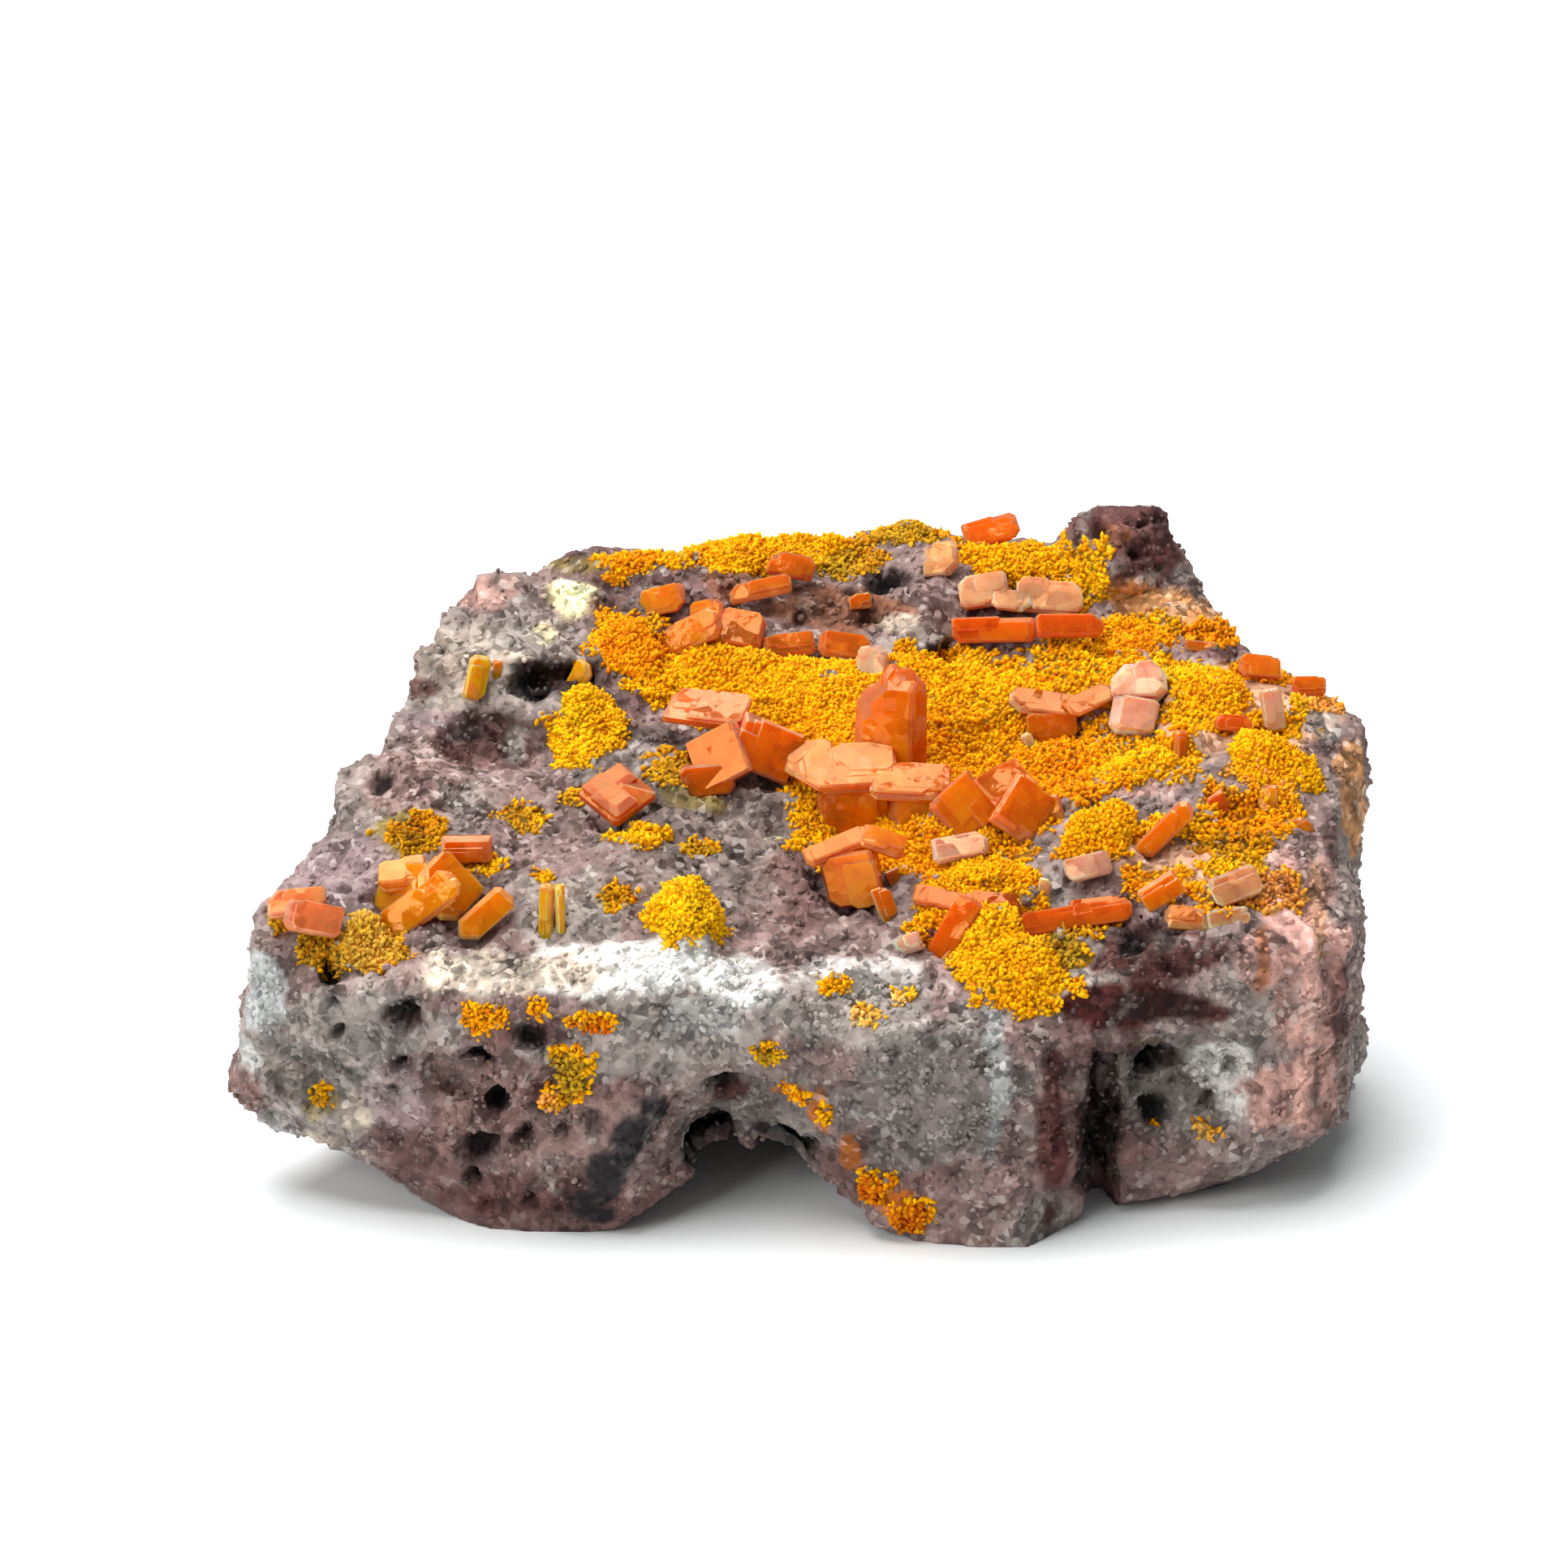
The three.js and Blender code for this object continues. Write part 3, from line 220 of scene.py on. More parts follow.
# Where mimetite grows over the rock, thickly or as a stain: its hue, the pixel where a patch's middle is
# seen, its half width and half height in pixels, and how thick it is
HUES = palette(
    lemon="ffc814", yellow="ffb808", amber="ff9e06", dark="9a6a14", olive="a98a2c", pale="f6cf80",
    straw="dab048", peach="f6a868", rust="dc6a08")
PATCHES = {
    "back, far left": ("amber", 775, 692, 52, 14, 1), "back, left": ("yellow", 905, 680, 80, 30, 1),
    "back, olive": ("olive", 1045, 692, 56, 26, 0.9), "skyline": ("olive", 1110, 656, 66, 18, 0.8),
    "back, right": ("yellow", 1268, 690, 86, 44, 1), "beside the knob": ("lemon", 1345, 722, 36, 40, 0.9),
    "left of the ridge": ("yellow", 770, 772, 50, 22, 0.9), "upper left": ("amber", 785, 800, 62, 26, 1),
    "left end of the bowl": ("yellow", 830, 842, 60, 34, 1), "bowl": ("yellow", 965, 862, 150, 56, 1),
    "bowl's left front": ("yellow", 1000, 905, 70, 40, 1),
    "bowl, right": ("yellow", 1225, 862, 150, 76, 1), "bowl's back": ("yellow", 1330, 812, 70, 40, 1),
    "bowl's front": ("amber", 1210, 935, 130, 60, 1),
    "bowl's right front": ("amber", 1310, 950, 80, 66, 1),
    "under the plates": ("yellow", 1012, 1000, 44, 66, 1),
    "under the squares": ("amber", 1190, 1045, 110, 50, 1),
    "front of the block": ("amber", 1090, 1050, 60, 40, 0.8),
    "behind the shoulder": ("yellow", 1400, 780, 60, 26, 1), "rim": ("lemon", 1440, 830, 52, 26, 1),
    "back slope": ("amber", 1495, 780, 46, 18, 1),
    "back of the shoulder": ("amber", 1556, 828, 46, 18, 0.9),
    "shoulder": ("yellow", 1480, 880, 52, 34, 1), "shoulder, middle": ("yellow", 1420, 930, 62, 30, 1),
    "shoulder, right": ("yellow", 1560, 900, 56, 34, 0.9),
    "over the pocket": ("peach", 1560, 945, 70, 34, 1), "pocket": ("amber", 1540, 1000, 66, 46, 1),
    "pocket's front": ("dark", 1510, 1036, 50, 20, 0.9), "green spot": ("lemon", 1608, 868, 30, 14, 0.8),
    "right end": ("peach", 1640, 866, 30, 16, 0.8), "shoulder front": ("yellow", 1350, 1032, 54, 26, 1),
    "front middle": ("yellow", 1450, 1020, 70, 18, 1), "front, right": ("lemon", 1520, 1068, 60, 18, 0.9),
    "front, far right": ("peach", 1560, 1100, 60, 26, 0.9),
    "front of the shoulder": ("amber", 1430, 1090, 60, 26, 0.9),
    "over the lip": ("amber", 1500, 1118, 60, 18, 0.8), "tongue's root": ("yellow", 1195, 1085, 64, 40, 1),
    "tongue's left": ("yellow", 1152, 1125, 34, 44, 1), "tongue": ("yellow", 1235, 1170, 76, 50, 1),
    "tongue's end": ("yellow", 1262, 1220, 76, 36, 1),
    "tongue's right": ("olive", 1310, 1175, 36, 30, 0.9),
    "right of the tongue": ("dark", 1345, 1140, 40, 18, 0.8), "ball": ("lemon", 850, 1115, 56, 50, 1),
    "left": ("lemon", 720, 905, 54, 46, 1), "ledge": ("dark", 505, 1028, 42, 28, 1),
    "beside the tablet": ("lemon", 600, 1064, 34, 14, 1),
    "under the left patch": ("olive", 640, 1008, 30, 20, 0.9),
    "small, middle": ("lemon", 795, 1028, 40, 11, 1), "small, right": ("olive", 860, 1046, 32, 7, 0.8),
    "beside the ball": ("dark", 757, 1106, 22, 20, 0.8), "cube": ("yellow", 670, 1082, 12, 9, 1),
    "brown edge": ("dark", 350, 1125, 16, 30, 1), "shelf": ("straw", 452, 1172, 60, 22, 0.9),
    "shelf, left": ("olive", 390, 1166, 24, 24, 0.8),
    "under the brown crystals": ("olive", 840, 950, 46, 30, 0.9),
    "beside them": ("olive", 700, 985, 24, 12, 0.8), "spot": ("yellow", 1030, 1214, 22, 10, 1),
    "pale spot": ("pale", 1070, 1252, 22, 14, 0.8), "second pale spot": ("pale", 1115, 1228, 16, 12, 0.8),
    "orange lump": ("amber", 590, 1252, 32, 22, 1), "small orange lump": ("amber", 662, 1243, 18, 8, 0.9),
    "flat orange lump": ("rust", 732, 1260, 30, 10, 1), "olive lump": ("olive", 704, 1318, 22, 36, 1),
    "peach lump": ("peach", 675, 1357, 15, 12, 0.8), "arch's spot": ("olive", 946, 1297, 15, 12, 1),
    "arch's band": ("amber", 965, 1347, 36, 12, 0.8), "streak": ("yellow", 1016, 1385, 13, 30, 1),
    "streak, middle": ("yellow", 1036, 1420, 16, 18, 1), "streak, lower": ("rust", 1075, 1462, 26, 24, 1),
    "streak, foot": ("rust", 1118, 1500, 34, 24, 1), "in the alcove": ("rust", 1425, 1378, 10, 12, 0.9),
    "alcove's floor": ("pale", 1490, 1395, 20, 14, 0.7), "vug": ("dark", 398, 1350, 16, 14, 0.7),
}


def welded(node):
    """A node's points and triangles: its loose corners are rounded to a tenth of a micron, and equal ones
    made one."""
    grid = 1e-7
    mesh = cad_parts[node].data
    points = np.empty(3 * len(mesh.vertices), np.float32)
    mesh.vertices.foreach_get("co", points)
    mesh.calc_loop_triangles()
    corners = np.empty(3 * len(mesh.loop_triangles), np.int32)
    mesh.loop_triangles.foreach_get("vertices", corners)
    places, which = np.unique(np.round(points.reshape(-1, 3) / grid), axis=0, return_inverse=True)
    return places * grid, which.ravel()[corners].reshape(-1, 3)


def outward(points, faces):
    """Unit normals of the points: every face adds the cross product of its diagonals to its corners."""
    across = np.cross(points[faces[:, 2]] - points[faces[:, 0]], points[faces[:, -1]] - points[faces[:, 1]])
    normals = np.zeros_like(points)
    for corner in faces.T:
        np.add.at(normals, corner, across)
    return normals / np.maximum(np.linalg.norm(normals, axis=1, keepdims=True), 1e-20)


def joined(parts):
    """Several pairs of points and faces as one."""
    starts = np.cumsum([0] + [len(points) for points, _ in parts])
    faces = np.concatenate([faces + start for (_, faces), start in zip(parts, starts)])
    return np.concatenate([points for points, _ in parts]), faces


def skinned(shells, cell):
    """One closed skin of small squares round closed shells that may overlap, each a pair of points and
    faces."""
    mesh = bpy.data.meshes.new("shells")
    points, faces = joined(shells)
    mesh.from_pydata(points, [], faces)
    shell = bpy.data.objects.new("shells", mesh)
    bpy.context.scene.collection.objects.link(shell)
    skin = shell.modifiers.new("skin", "REMESH")
    skin.mode = "VOXEL"
    skin.voxel_size = cell
    fine = shell.evaluated_get(bpy.context.evaluated_depsgraph_get()).to_mesh()
    points = np.empty(3 * len(fine.vertices), np.float32)
    fine.vertices.foreach_get("co", points)
    corners = np.empty(4 * len(fine.polygons), np.int32)
    fine.loops.foreach_get("vertex_index", corners)
    bpy.data.objects.remove(shell)
    bpy.data.meshes.remove(mesh)
    return points.reshape(-1, 3).astype(float), corners.reshape(-1, 4)


def scramble(cells, salt):
    """A repeatable number from 0 to 1 for each whole-numbered cell: its coordinates' bits, multiplied and
    folded."""
    x, y, z = np.moveaxis(cells.astype(np.int64).astype(np.uint32), -1, 0)
    h = x * np.uint32(374761393) + y * np.uint32(668265263) + z * np.uint32(1440662683)
    h = h + np.uint32(salt * 7919)
    h = (h ^ (h >> np.uint32(13))) * np.uint32(1103515245)
    h = (h ^ (h >> np.uint32(16))) * np.uint32(2246822519)
    return (h ^ (h >> np.uint32(15))) / 2 ** 32


def cloud(points, size, salt):
    """Smooth noise from -1 to 1: the eight corners' numbers of a point's cell, blended by smoothstep."""
    place = points / size
    low = np.floor(place)
    blend = (place - low) ** 2 * (3 - 2 * (place - low))
    total = np.zeros(len(points))
    for corner in np.ndindex(2, 2, 2):
        share = np.prod(np.where(corner, blend, 1 - blend), axis=1)
        total += share * scramble(low + corner, salt)
    return 2 * total - 1


def splinters(points, size, salt):
    """Broken facets: each point takes the plane, tilted its own way, of the nearest of the seeds scattered
    one to a cell. Gives the planes' height, the distance to the nearest seed and a number from 0 to 1 for
    the facet."""
    place = points / size
    low = np.floor(place)
    nearest = np.full(len(points), 9.0)
    height, share = np.zeros(len(points)), np.zeros(len(points))
    for step in np.ndindex(3, 3, 3):
        cell = low + step - 1
        offset = cell + np.stack([scramble(cell, salt + axis) for axis in range(3)], 1) - place
        distance = np.linalg.norm(offset, axis=1)
        lean = np.stack([scramble(cell, salt + 3 + axis) - 0.5 for axis in range(3)], 1)
        plane = (offset * lean).sum(1) + 0.5 * (scramble(cell, salt + 6) - 0.5)
        closer = distance < nearest
        height = np.where(closer, plane, height)
        share = np.where(closer, scramble(cell, salt + 7), share)
        nearest = np.where(closer, distance, nearest)
    return height, nearest, share


def sight_line(pixel):
    """The way from the eye through a pixel: ahead by the focal length, and aside by the pixel's own
    place."""
    return FOCAL * ahead + (pixel[0] - PICTURE / 2) * rightward - (pixel[1] - PICTURE / 2) * upward


def sight(pixel):
    """The point where the sight line through a pixel first meets the bare stone, or None."""
    line = sight_line(pixel)
    place = bare_stone.ray_cast(eye.tolist(), (line / np.linalg.norm(line)).tolist())[0]
    return np.array(place) if place else None


def nearness(points, pixel, half, wander=0.35, size=1.1 * MM, salt=5):
    """How far inside a zone each point is, from 1 in the middle to 0 at the rim: the zone is an ellipsoid
    as seen from the eye, half as deep again as it is wide or high, and noise moves its rim. A zone off the
    stone is far from every point."""
    middle = sight(pixel)
    if middle is None:
        return np.full(len(points), -9.0)
    per_pixel = np.linalg.norm(middle - eye) / FOCAL
    width, height = half[0] * per_pixel, half[1] * per_pixel
    away = points - middle
    parts = away @ rightward / width, away @ upward / height, away @ ahead / (1.5 * max(width, height))
    return 1 - np.sqrt(sum(part ** 2 for part in parts)) + wander * cloud(points, size, salt)


def smoothstep(low, high, value):
    """0 under low, 1 over high, and 3t^2 - 2t^3 between."""
    t = np.clip((value - low) / (high - low), 0, 1)
    return t * t * (3 - 2 * t)


def layered(points, along, thin, long, salt):
    """Noise in layers: the points are squeezed by the layers' thickness across them and by their length
    within."""
    along = np.array(along) / np.linalg.norm(along)
    across_layers = points @ along
    squeezed = points / long + np.outer(across_layers, along) * (1 / thin - 1 / long)
    return cloud(squeezed, 1, salt)


rock_points, rock_faces = welded("matrix_rock")
crust_names = [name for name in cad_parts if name.startswith("mimetite")]
ROCK_SWELL = 0.1 * MM
shells = [(rock_points + ROCK_SWELL * outward(rock_points, rock_faces), rock_faces)]
# A crust's sides are bedded in the rock, which stays just under its top
CRUST_TOP = 0.25
UNDER_CRUST = -0.1 * MM
ROUND_CRUST = 0.3 * MM
for name in crust_names:
    points, faces = welded(name)
    normals = outward(points, faces)
    swell = np.where(normals[:, 2:] > CRUST_TOP, UNDER_CRUST, ROUND_CRUST)
    shells.append((points + swell * normals, faces))
rock_skin, rock_squares = skinned(shells, SKIN)
bare_stone = BVHTree.FromPolygons(rock_skin.tolist(), rock_squares.tolist())
rock_normals = outward(rock_skin, rock_squares)
BLOCK = 4.2 * MM
SPLINTER = 1.9 * MM
CHIP = 0.8 * MM
PIT = 1.5 * MM
block, _, _ = splinters(rock_skin, BLOCK, 21)
splinter, _, _ = splinters(rock_skin, SPLINTER, 11)
chip, _, chip_share = splinters(rock_skin, CHIP, 31)
broad = cloud(rock_skin, 2.6 * MM, 3)
fine = cloud(rock_skin, 0.7 * MM, 4)
KINDS = ("druse", "banded", "ledged", "fluted", "pitted", "sleek")
kinds = {kind: np.zeros(len(rock_skin)) for kind in KINDS}
for _, x, y, wide, high, _, *own_kind in ZONES.values():
    for kind in own_kind:
        inside = smoothstep(0, 0.4, nearness(rock_skin, (x, y), (wide, high)))
        kinds[kind] = np.maximum(kinds[kind], inside)
druse, banded, ledged, fluted, pitted, sleek = kinds.values()
_, from_grain, _ = splinters(rock_skin, CHIP, 51)
_, from_pit, _ = splinters(rock_skin, PIT, 61)
# The relief, in mm: facets of three sizes and noise of two, and then what each kind of break adds
LAYERS = (0.5, -0.3, 1)  # across the bands
LEDGES = (0.1, -0.35, 1)  # across the ledges
FLUTES = (1, 0.8, 0.1)  # across the upright flutes
relief = 0.6 * block + 0.42 * splinter + 0.24 * chip + 0.16 * broad + 0.1 * fine
relief += 0.3 * druse * (0.45 - from_grain)
relief += 0.4 * banded * layered(rock_skin, LAYERS, 0.7 * MM, 5 * MM, 13)
relief += 0.35 * ledged * layered(rock_skin, LEDGES, 0.6 * MM, 4 * MM, 14)
relief += 0.45 * fluted * layered(rock_skin, FLUTES, 0.7 * MM, 6 * MM, 15)
relief -= 0.9 * pitted * smoothstep(0.5, 0.1, from_pit)
relief *= 1 - 0.8 * sleek
# Each hole sinks the relief, and how far inside a hole each point lies is kept for the shade painted into
# the holes
hole_shade = np.zeros(len(rock_skin))
for x, y, half, depth in HOLES.values():
    share = smoothstep(0, 0.7, nearness(rock_skin, (x, y), (half, half), 0.35, 0.6 * MM))
    relief -= depth * share
    hole_shade = np.maximum(hole_shade, share)
off_floor = smoothstep(0, 1.2 * MM, rock_skin[:, 2])
rock_skin = rock_skin + (relief * MM * off_floor)[:, None] * rock_normals
rock_skin[:, 2] = np.maximum(rock_skin[:, 2], 0)

# Its colour: mauve rock, paler in some parts and plum in others, then the zones, pale veins and streaks,
# with painted shade in the relief's hollows and in the holes
paler_part = 0.7 * smoothstep(0, 0.5, cloud(rock_skin, 6 * MM, 72))[:, None]
darker_part = 0.6 * smoothstep(0.1, 0.5, cloud(rock_skin, 5 * MM, 73))[:, None]
tint = COLOURS["rock"] + paler_part * (COLOURS["ash"] - COLOURS["rock"])
tint = tint + darker_part * (COLOURS["plum"] - tint)
for salt, (colour, x, y, wide, high, strength, *_) in enumerate(ZONES.values()):
    share = strength * smoothstep(0, 0.25, nearness(rock_skin, (x, y), (wide, high), salt=salt))
    tint += share[:, None] * (COLOURS[colour] - tint)
veins = smoothstep(0.12, 0, np.abs(cloud(rock_skin, 3.4 * MM, 71) + 0.25 * fine))
veins = veins * smoothstep(-0.2, 0.5, broad)
tint += (0.5 * veins)[:, None] * (COLOURS["grey"] - tint)
streaks = layered(rock_skin, (0.4, -0.3, 1), 0.45 * MM, 4 * MM, 16) * np.maximum(banded, ledged)
streaks += 1.3 * layered(rock_skin, FLUTES, 0.5 * MM, 6 * MM, 17) * fluted
# The shade: each chip's own tone and the streaks, with painted shade in the hollows of the relief and a
# painted highlight on its raised facets; the holes are painted darker still
shade = 1 + 0.5 * (chip_share - 0.5) + 0.4 * np.clip(relief, -0.8, 0.3) + 0.6 * streaks
shade = np.maximum(shade, 0.25) * (1 - 0.85 * hole_shade)
tint = np.clip(tint * shade[:, None], 0, 1)

# How thick mimetite grows on it, from 0 to 1, and its hue there: the patches in turn, each with a ragged
# rim, and nothing on faces that look down
fringe = 0.3 * cloud(rock_skin, 0.45 * MM, 75)
thick = np.zeros(len(rock_skin))
crust_hues = np.tile(HUES["yellow"], (len(rock_skin), 1))
for salt, (hue, x, y, wide, high, strength) in enumerate(PATCHES.values(), 200):
    near = nearness(rock_skin, (x, y), (wide, high), 0.4, 0.9 * MM, salt)
    share = strength * smoothstep(-0.1, 0.45, near + fringe)
    crust_hues += share[:, None] * (HUES[hue] - crust_hues)
    thick = np.maximum(thick, share)
thick = thick * smoothstep(-0.5, -0.1, rock_normals[:, 2])


def piece(name, points, faces, smooth=True, **layers):
    """A mesh object of that name that moves with the stone. A layer holds a colour for each point, or for
    each face's corner, and its fourth number is 1 where it isn't given."""
    mesh = bpy.data.meshes.new(name)
    mesh.from_pydata(points, [], faces)
    mesh.polygons.foreach_set("use_smooth", np.full(len(mesh.polygons), smooth))
    for layer_name, colours in layers.items():
        domain = "POINT" if len(colours) == len(points) else "CORNER"
        layer = mesh.color_attributes.new(layer_name, "FLOAT_COLOR", domain)
        full = colours if colours.shape[1] == 4 else np.c_[colours, np.ones(len(colours))]
        layer.data.foreach_set("color", full.astype(np.float32).ravel())
    made = bpy.data.objects.new(name, mesh)
    bpy.context.scene.collection.objects.link(made)
    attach(made, "root")
    return made


class Socket:
    """A shader's value, in sums: a sum, difference or product with a number or another value adds its Math
    node."""

    def __init__(self, finish, source):
        self.finish = finish
        self.source = source

    def sum(self, operation, *values):
        """One Math node of that operation on the values."""
        return self.finish.node("ShaderNodeMath", {"operation": operation}, *values)

    def __add__(self, other):
        return self.sum("ADD", self, other)

    def __sub__(self, other):
        return self.sum("SUBTRACT", self, other)

    def __rsub__(self, other):
        return self.sum("SUBTRACT", other, self)

    def __mul__(self, other):
        return self.sum("MULTIPLY", self, other)

    __radd__ = __add__
    __rmul__ = __mul__


class Finish:
    """A material and its Principled shader, whose sockets are set by name; node() adds any other node to
    it."""

    def __init__(self, name, **sockets):
        self.material = bpy.data.materials.new(name)
        self.material.use_nodes = True
        self.tree = self.material.node_tree
        self.shader = self.tree.nodes["Principled BSDF"]
        self.set(**sockets)

    def join(self, value, socket):
        """Links a value that is a socket, and sets one that is a number or a colour."""
        if isinstance(value, Socket):
            self.tree.links.new(value.source, socket)
        else:
            socket.default_value = value

    def node(self, kind, settings, *values, output=0, **named):
        """A node of that kind: its settings first, then its sockets' values in order or by name."""
        made = self.tree.nodes.new(kind)
        for setting, value in settings.items():
            setattr(made, setting, value)
        for socket, value in enumerate(values):
            self.join(value, made.inputs[socket])
        for socket, value in named.items():
            self.join(value, made.inputs[socket.replace("_", " ")])
        return Socket(self, made.outputs[output])

    def set(self, **sockets):
        """Sets or links the Principled shader's own sockets."""
        for socket, value in sockets.items():
            self.join(value, self.shader.inputs[socket.replace("_", " ")])

    def place(self):
        """The object's own coordinates, in metres."""
        return self.node("ShaderNodeTexCoord", {}, output="Object")

    def noise(self, size, detail=4, roughness=0.6):
        """Noise from 0 to 1 whose cells are that many metres across."""
        return self.node("ShaderNodeTexNoise", {}, Vector=self.place(), Scale=1 / size, Detail=detail,
                         Roughness=roughness)

    def cells(self, size, output="Distance"):
        """Scattered cells that many metres across: the distance to the nearest seed, or its colour."""
        return self.node("ShaderNodeTexVoronoi", {}, Vector=self.place(), Scale=1 / size, output=output)

    def layer(self, name, output="Color"):
        """A colour layer of the mesh, or its fourth number as Alpha."""
        return self.node("ShaderNodeVertexColor", {"layer_name": name}, output=output)

    def shaded(self, colour, factor):
        """A colour times a number."""
        return self.node("ShaderNodeVectorMath", {"operation": "SCALE"}, colour, Scale=factor)

    def band(self, value, low, high):
        """0 where the value is low and 1 where it is high, smoothly between."""
        return self.node("ShaderNodeMapRange", {"interpolation_type": "SMOOTHSTEP"}, value, low, high)

    def mix(self, share, one, other, kind="MIX"):
        """Two colours, mixed by a share: plainly, or by the named way of blending."""
        mixed = self.node("ShaderNodeMix", {"data_type": "RGBA", "blend_type": kind}, output=2)
        sockets = mixed.source.node.inputs
        for socket, value in ((0, share), (6, one), (7, other)):
            if isinstance(value, np.ndarray):
                value = (*value, 1)
            self.join(value, sockets[socket])
        return mixed

    def bump(self, height, deep):
        """A normal from a height that is counted in so many metres."""
        return self.node("ShaderNodeBump", {}, Height=height, Distance=deep, Strength=1)


def facets(finish, size, lean):
    """Broken facets in a finish: a plane through each scattered seed, tilted by the seed's own random
    colour. Gives the height in metres and the seed's first random number."""
    place = finish.place()
    seed = finish.node("ShaderNodeTexVoronoi", {}, Vector=place, Scale=1 / size, output="Position")
    hue = Socket(finish, seed.source.node.outputs["Color"])
    away = finish.node("ShaderNodeVectorMath", {"operation": "SUBTRACT"}, place, seed)
    tilt = finish.node("ShaderNodeVectorMath", {"operation": "SUBTRACT"}, hue, (0.5, 0.5, 0.5))
    height = finish.node("ShaderNodeVectorMath", {"operation": "DOT_PRODUCT"}, away, tilt, output="Value")
    share = finish.node("ShaderNodeSeparateColor", {}, hue)
    return height * lean + share * (0.12 * size), share


stone = Finish("broken rock", IOR=1.5, Specular_IOR_Level=0.3)
large, large_share = facets(stone, 1.4 * MM, 1.1)
small, small_share = facets(stone, 0.36 * MM, 1.4)
grit = stone.noise(0.4 * MM, 6, 0.75)
coarse = stone.noise(1.9 * MM, 5, 0.65)
colour = stone.shaded(stone.layer("tint"), 0.46 + large_share * 0.3 + small_share * 0.42 + coarse * 0.35)
flecks = stone.band(small_share, 0.86, 0.94) * 0.2 * stone.band(stone.layer("tint"), 0.06, 0.2)
colour = stone.mix(flecks, colour, COLOURS["quartz"])
# Painted shade in the fine crevices of the grit, which the bump sinks
colour = stone.mix(stone.band(grit, 0.42, 0.3) * 0.75, colour, COLOURS["deep"])
colour = stone.mix(stone.band(coarse, 0.4, 0.32) * 0.2, colour, COLOURS["plum"])
# The crust on the rock is painted darker round each curl and brightest at its middle: painted shade between
# the grains and painted highlight on them
curls = stone.band(stone.cells(0.36 * MM), 0.6, 0.2)
crust_colour = stone.shaded(stone.layer("crust"), 0.3 + curls * 0.75)
crust_share = stone.band(stone.layer("crust", "Alpha") + grit * 0.5, 0.62, 0.74)
colour = stone.mix(crust_share, colour, crust_colour)
stone.set(Base_Color=colour, Roughness=0.85 - stone.band(small_share, 0.6, 1) * 0.4,
          Normal=stone.bump(large + small + grit * (0.1 * MM) + curls * crust_share * (0.12 * MM), 1))

rock = piece("rock_surface", rock_skin, rock_squares, tint=tint, crust=np.c_[crust_hues, thick])
rock.data.materials.append(stone.material)
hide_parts("matrix_rock")

# Quartz and rock grains: the broken rock is sugary, with angular grains of a third of a millimetre that
# stand out of its skin. Each is a squashed, flat-faced pebble grown into the rock, half buried.
GRAINS = 8200
GRAIN_SIZES = (0.12 * MM, 0.34 * MM)


def scatter(points, faces, count, generator, weights):
    """Random places on a surface of four-sided faces, with their faces: halves of faces are drawn by area
    and weight, and a place is blended from a half's corners by two random shares."""
    corners = np.concatenate([points[faces[:, [0, 1, 3]]], points[faces[:, [1, 2, 3]]]])
    area = np.linalg.norm(np.cross(corners[:, 1] - corners[:, 0], corners[:, 2] - corners[:, 0]), axis=1)
    chance = area * np.resize(weights, len(area))
    drawn = generator.choice(len(area), count, p=chance / chance.sum())
    u, v = generator.random((2, count))
    u, v = np.where(u + v > 1, 1 - u, u)[:, None], np.where(u + v > 1, 1 - v, v)[:, None]
    a, b, c = np.moveaxis(corners[drawn], 1, 0)
    return a + u * (b - a) + v * (c - a), drawn % len(faces)


def turned(normals, generator):
    """Axes for things that stand on a surface: the third is the normal, and the other two are turned at
    random."""
    about = generator.normal(size=normals.shape)
    first = np.cross(about, normals)
    first /= np.linalg.norm(first, axis=1, keepdims=True)
    return np.stack([first, np.cross(normals, first), normals], 1)


def repeated(form, faces, places, axes, sizes):
    """One form set at many places: its points times the sizes, along the axes. Gives all points and
    faces."""
    points = places[:, None] + np.einsum("kpa,kab->kpb", form[None] * sizes[:, None], axes)
    starts = len(form) * np.arange(len(places))
    return points.reshape(-1, 3), (faces[None] + starts[:, None, None]).reshape(-1, faces.shape[1])


def spread(places, gap):
    """Keeps one place for each cube of that size, so that none crowd: the first drawn of those in a
    cube."""
    _, kept = np.unique(np.floor(places / gap), axis=0, return_index=True)
    return np.sort(kept)


def pebble():
    """An icosahedron: twelve points at the corners of three golden rectangles, and the twenty faces
    between."""
    g = (1 + 5 ** 0.5) / 2
    points = np.array([(-1, g, 0), (1, g, 0), (-1, -g, 0), (1, -g, 0), (0, -1, g), (0, 1, g),
                       (0, -1, -g), (0, 1, -g), (g, 0, -1), (g, 0, 1), (-g, 0, -1), (-g, 0, 1)])
    rings = [(0, 11, 5), (0, 5, 1), (0, 1, 7), (0, 7, 10), (0, 10, 11), (1, 5, 9), (5, 11, 4), (11, 10, 2),
             (10, 7, 6), (7, 1, 8), (3, 9, 4), (3, 4, 2), (3, 2, 6), (3, 6, 8), (3, 8, 9), (4, 9, 5),
             (2, 4, 11), (6, 2, 10), (8, 6, 7), (9, 8, 1)]
    return points / np.linalg.norm(points[0]), np.array(rings)


def leant(normals, most, generator):
    """Unit normals that lean at random, by up to about that much."""
    leaning = normals + most * generator.normal(size=normals.shape)
    return leaning / np.linalg.norm(leaning, axis=1, keepdims=True)


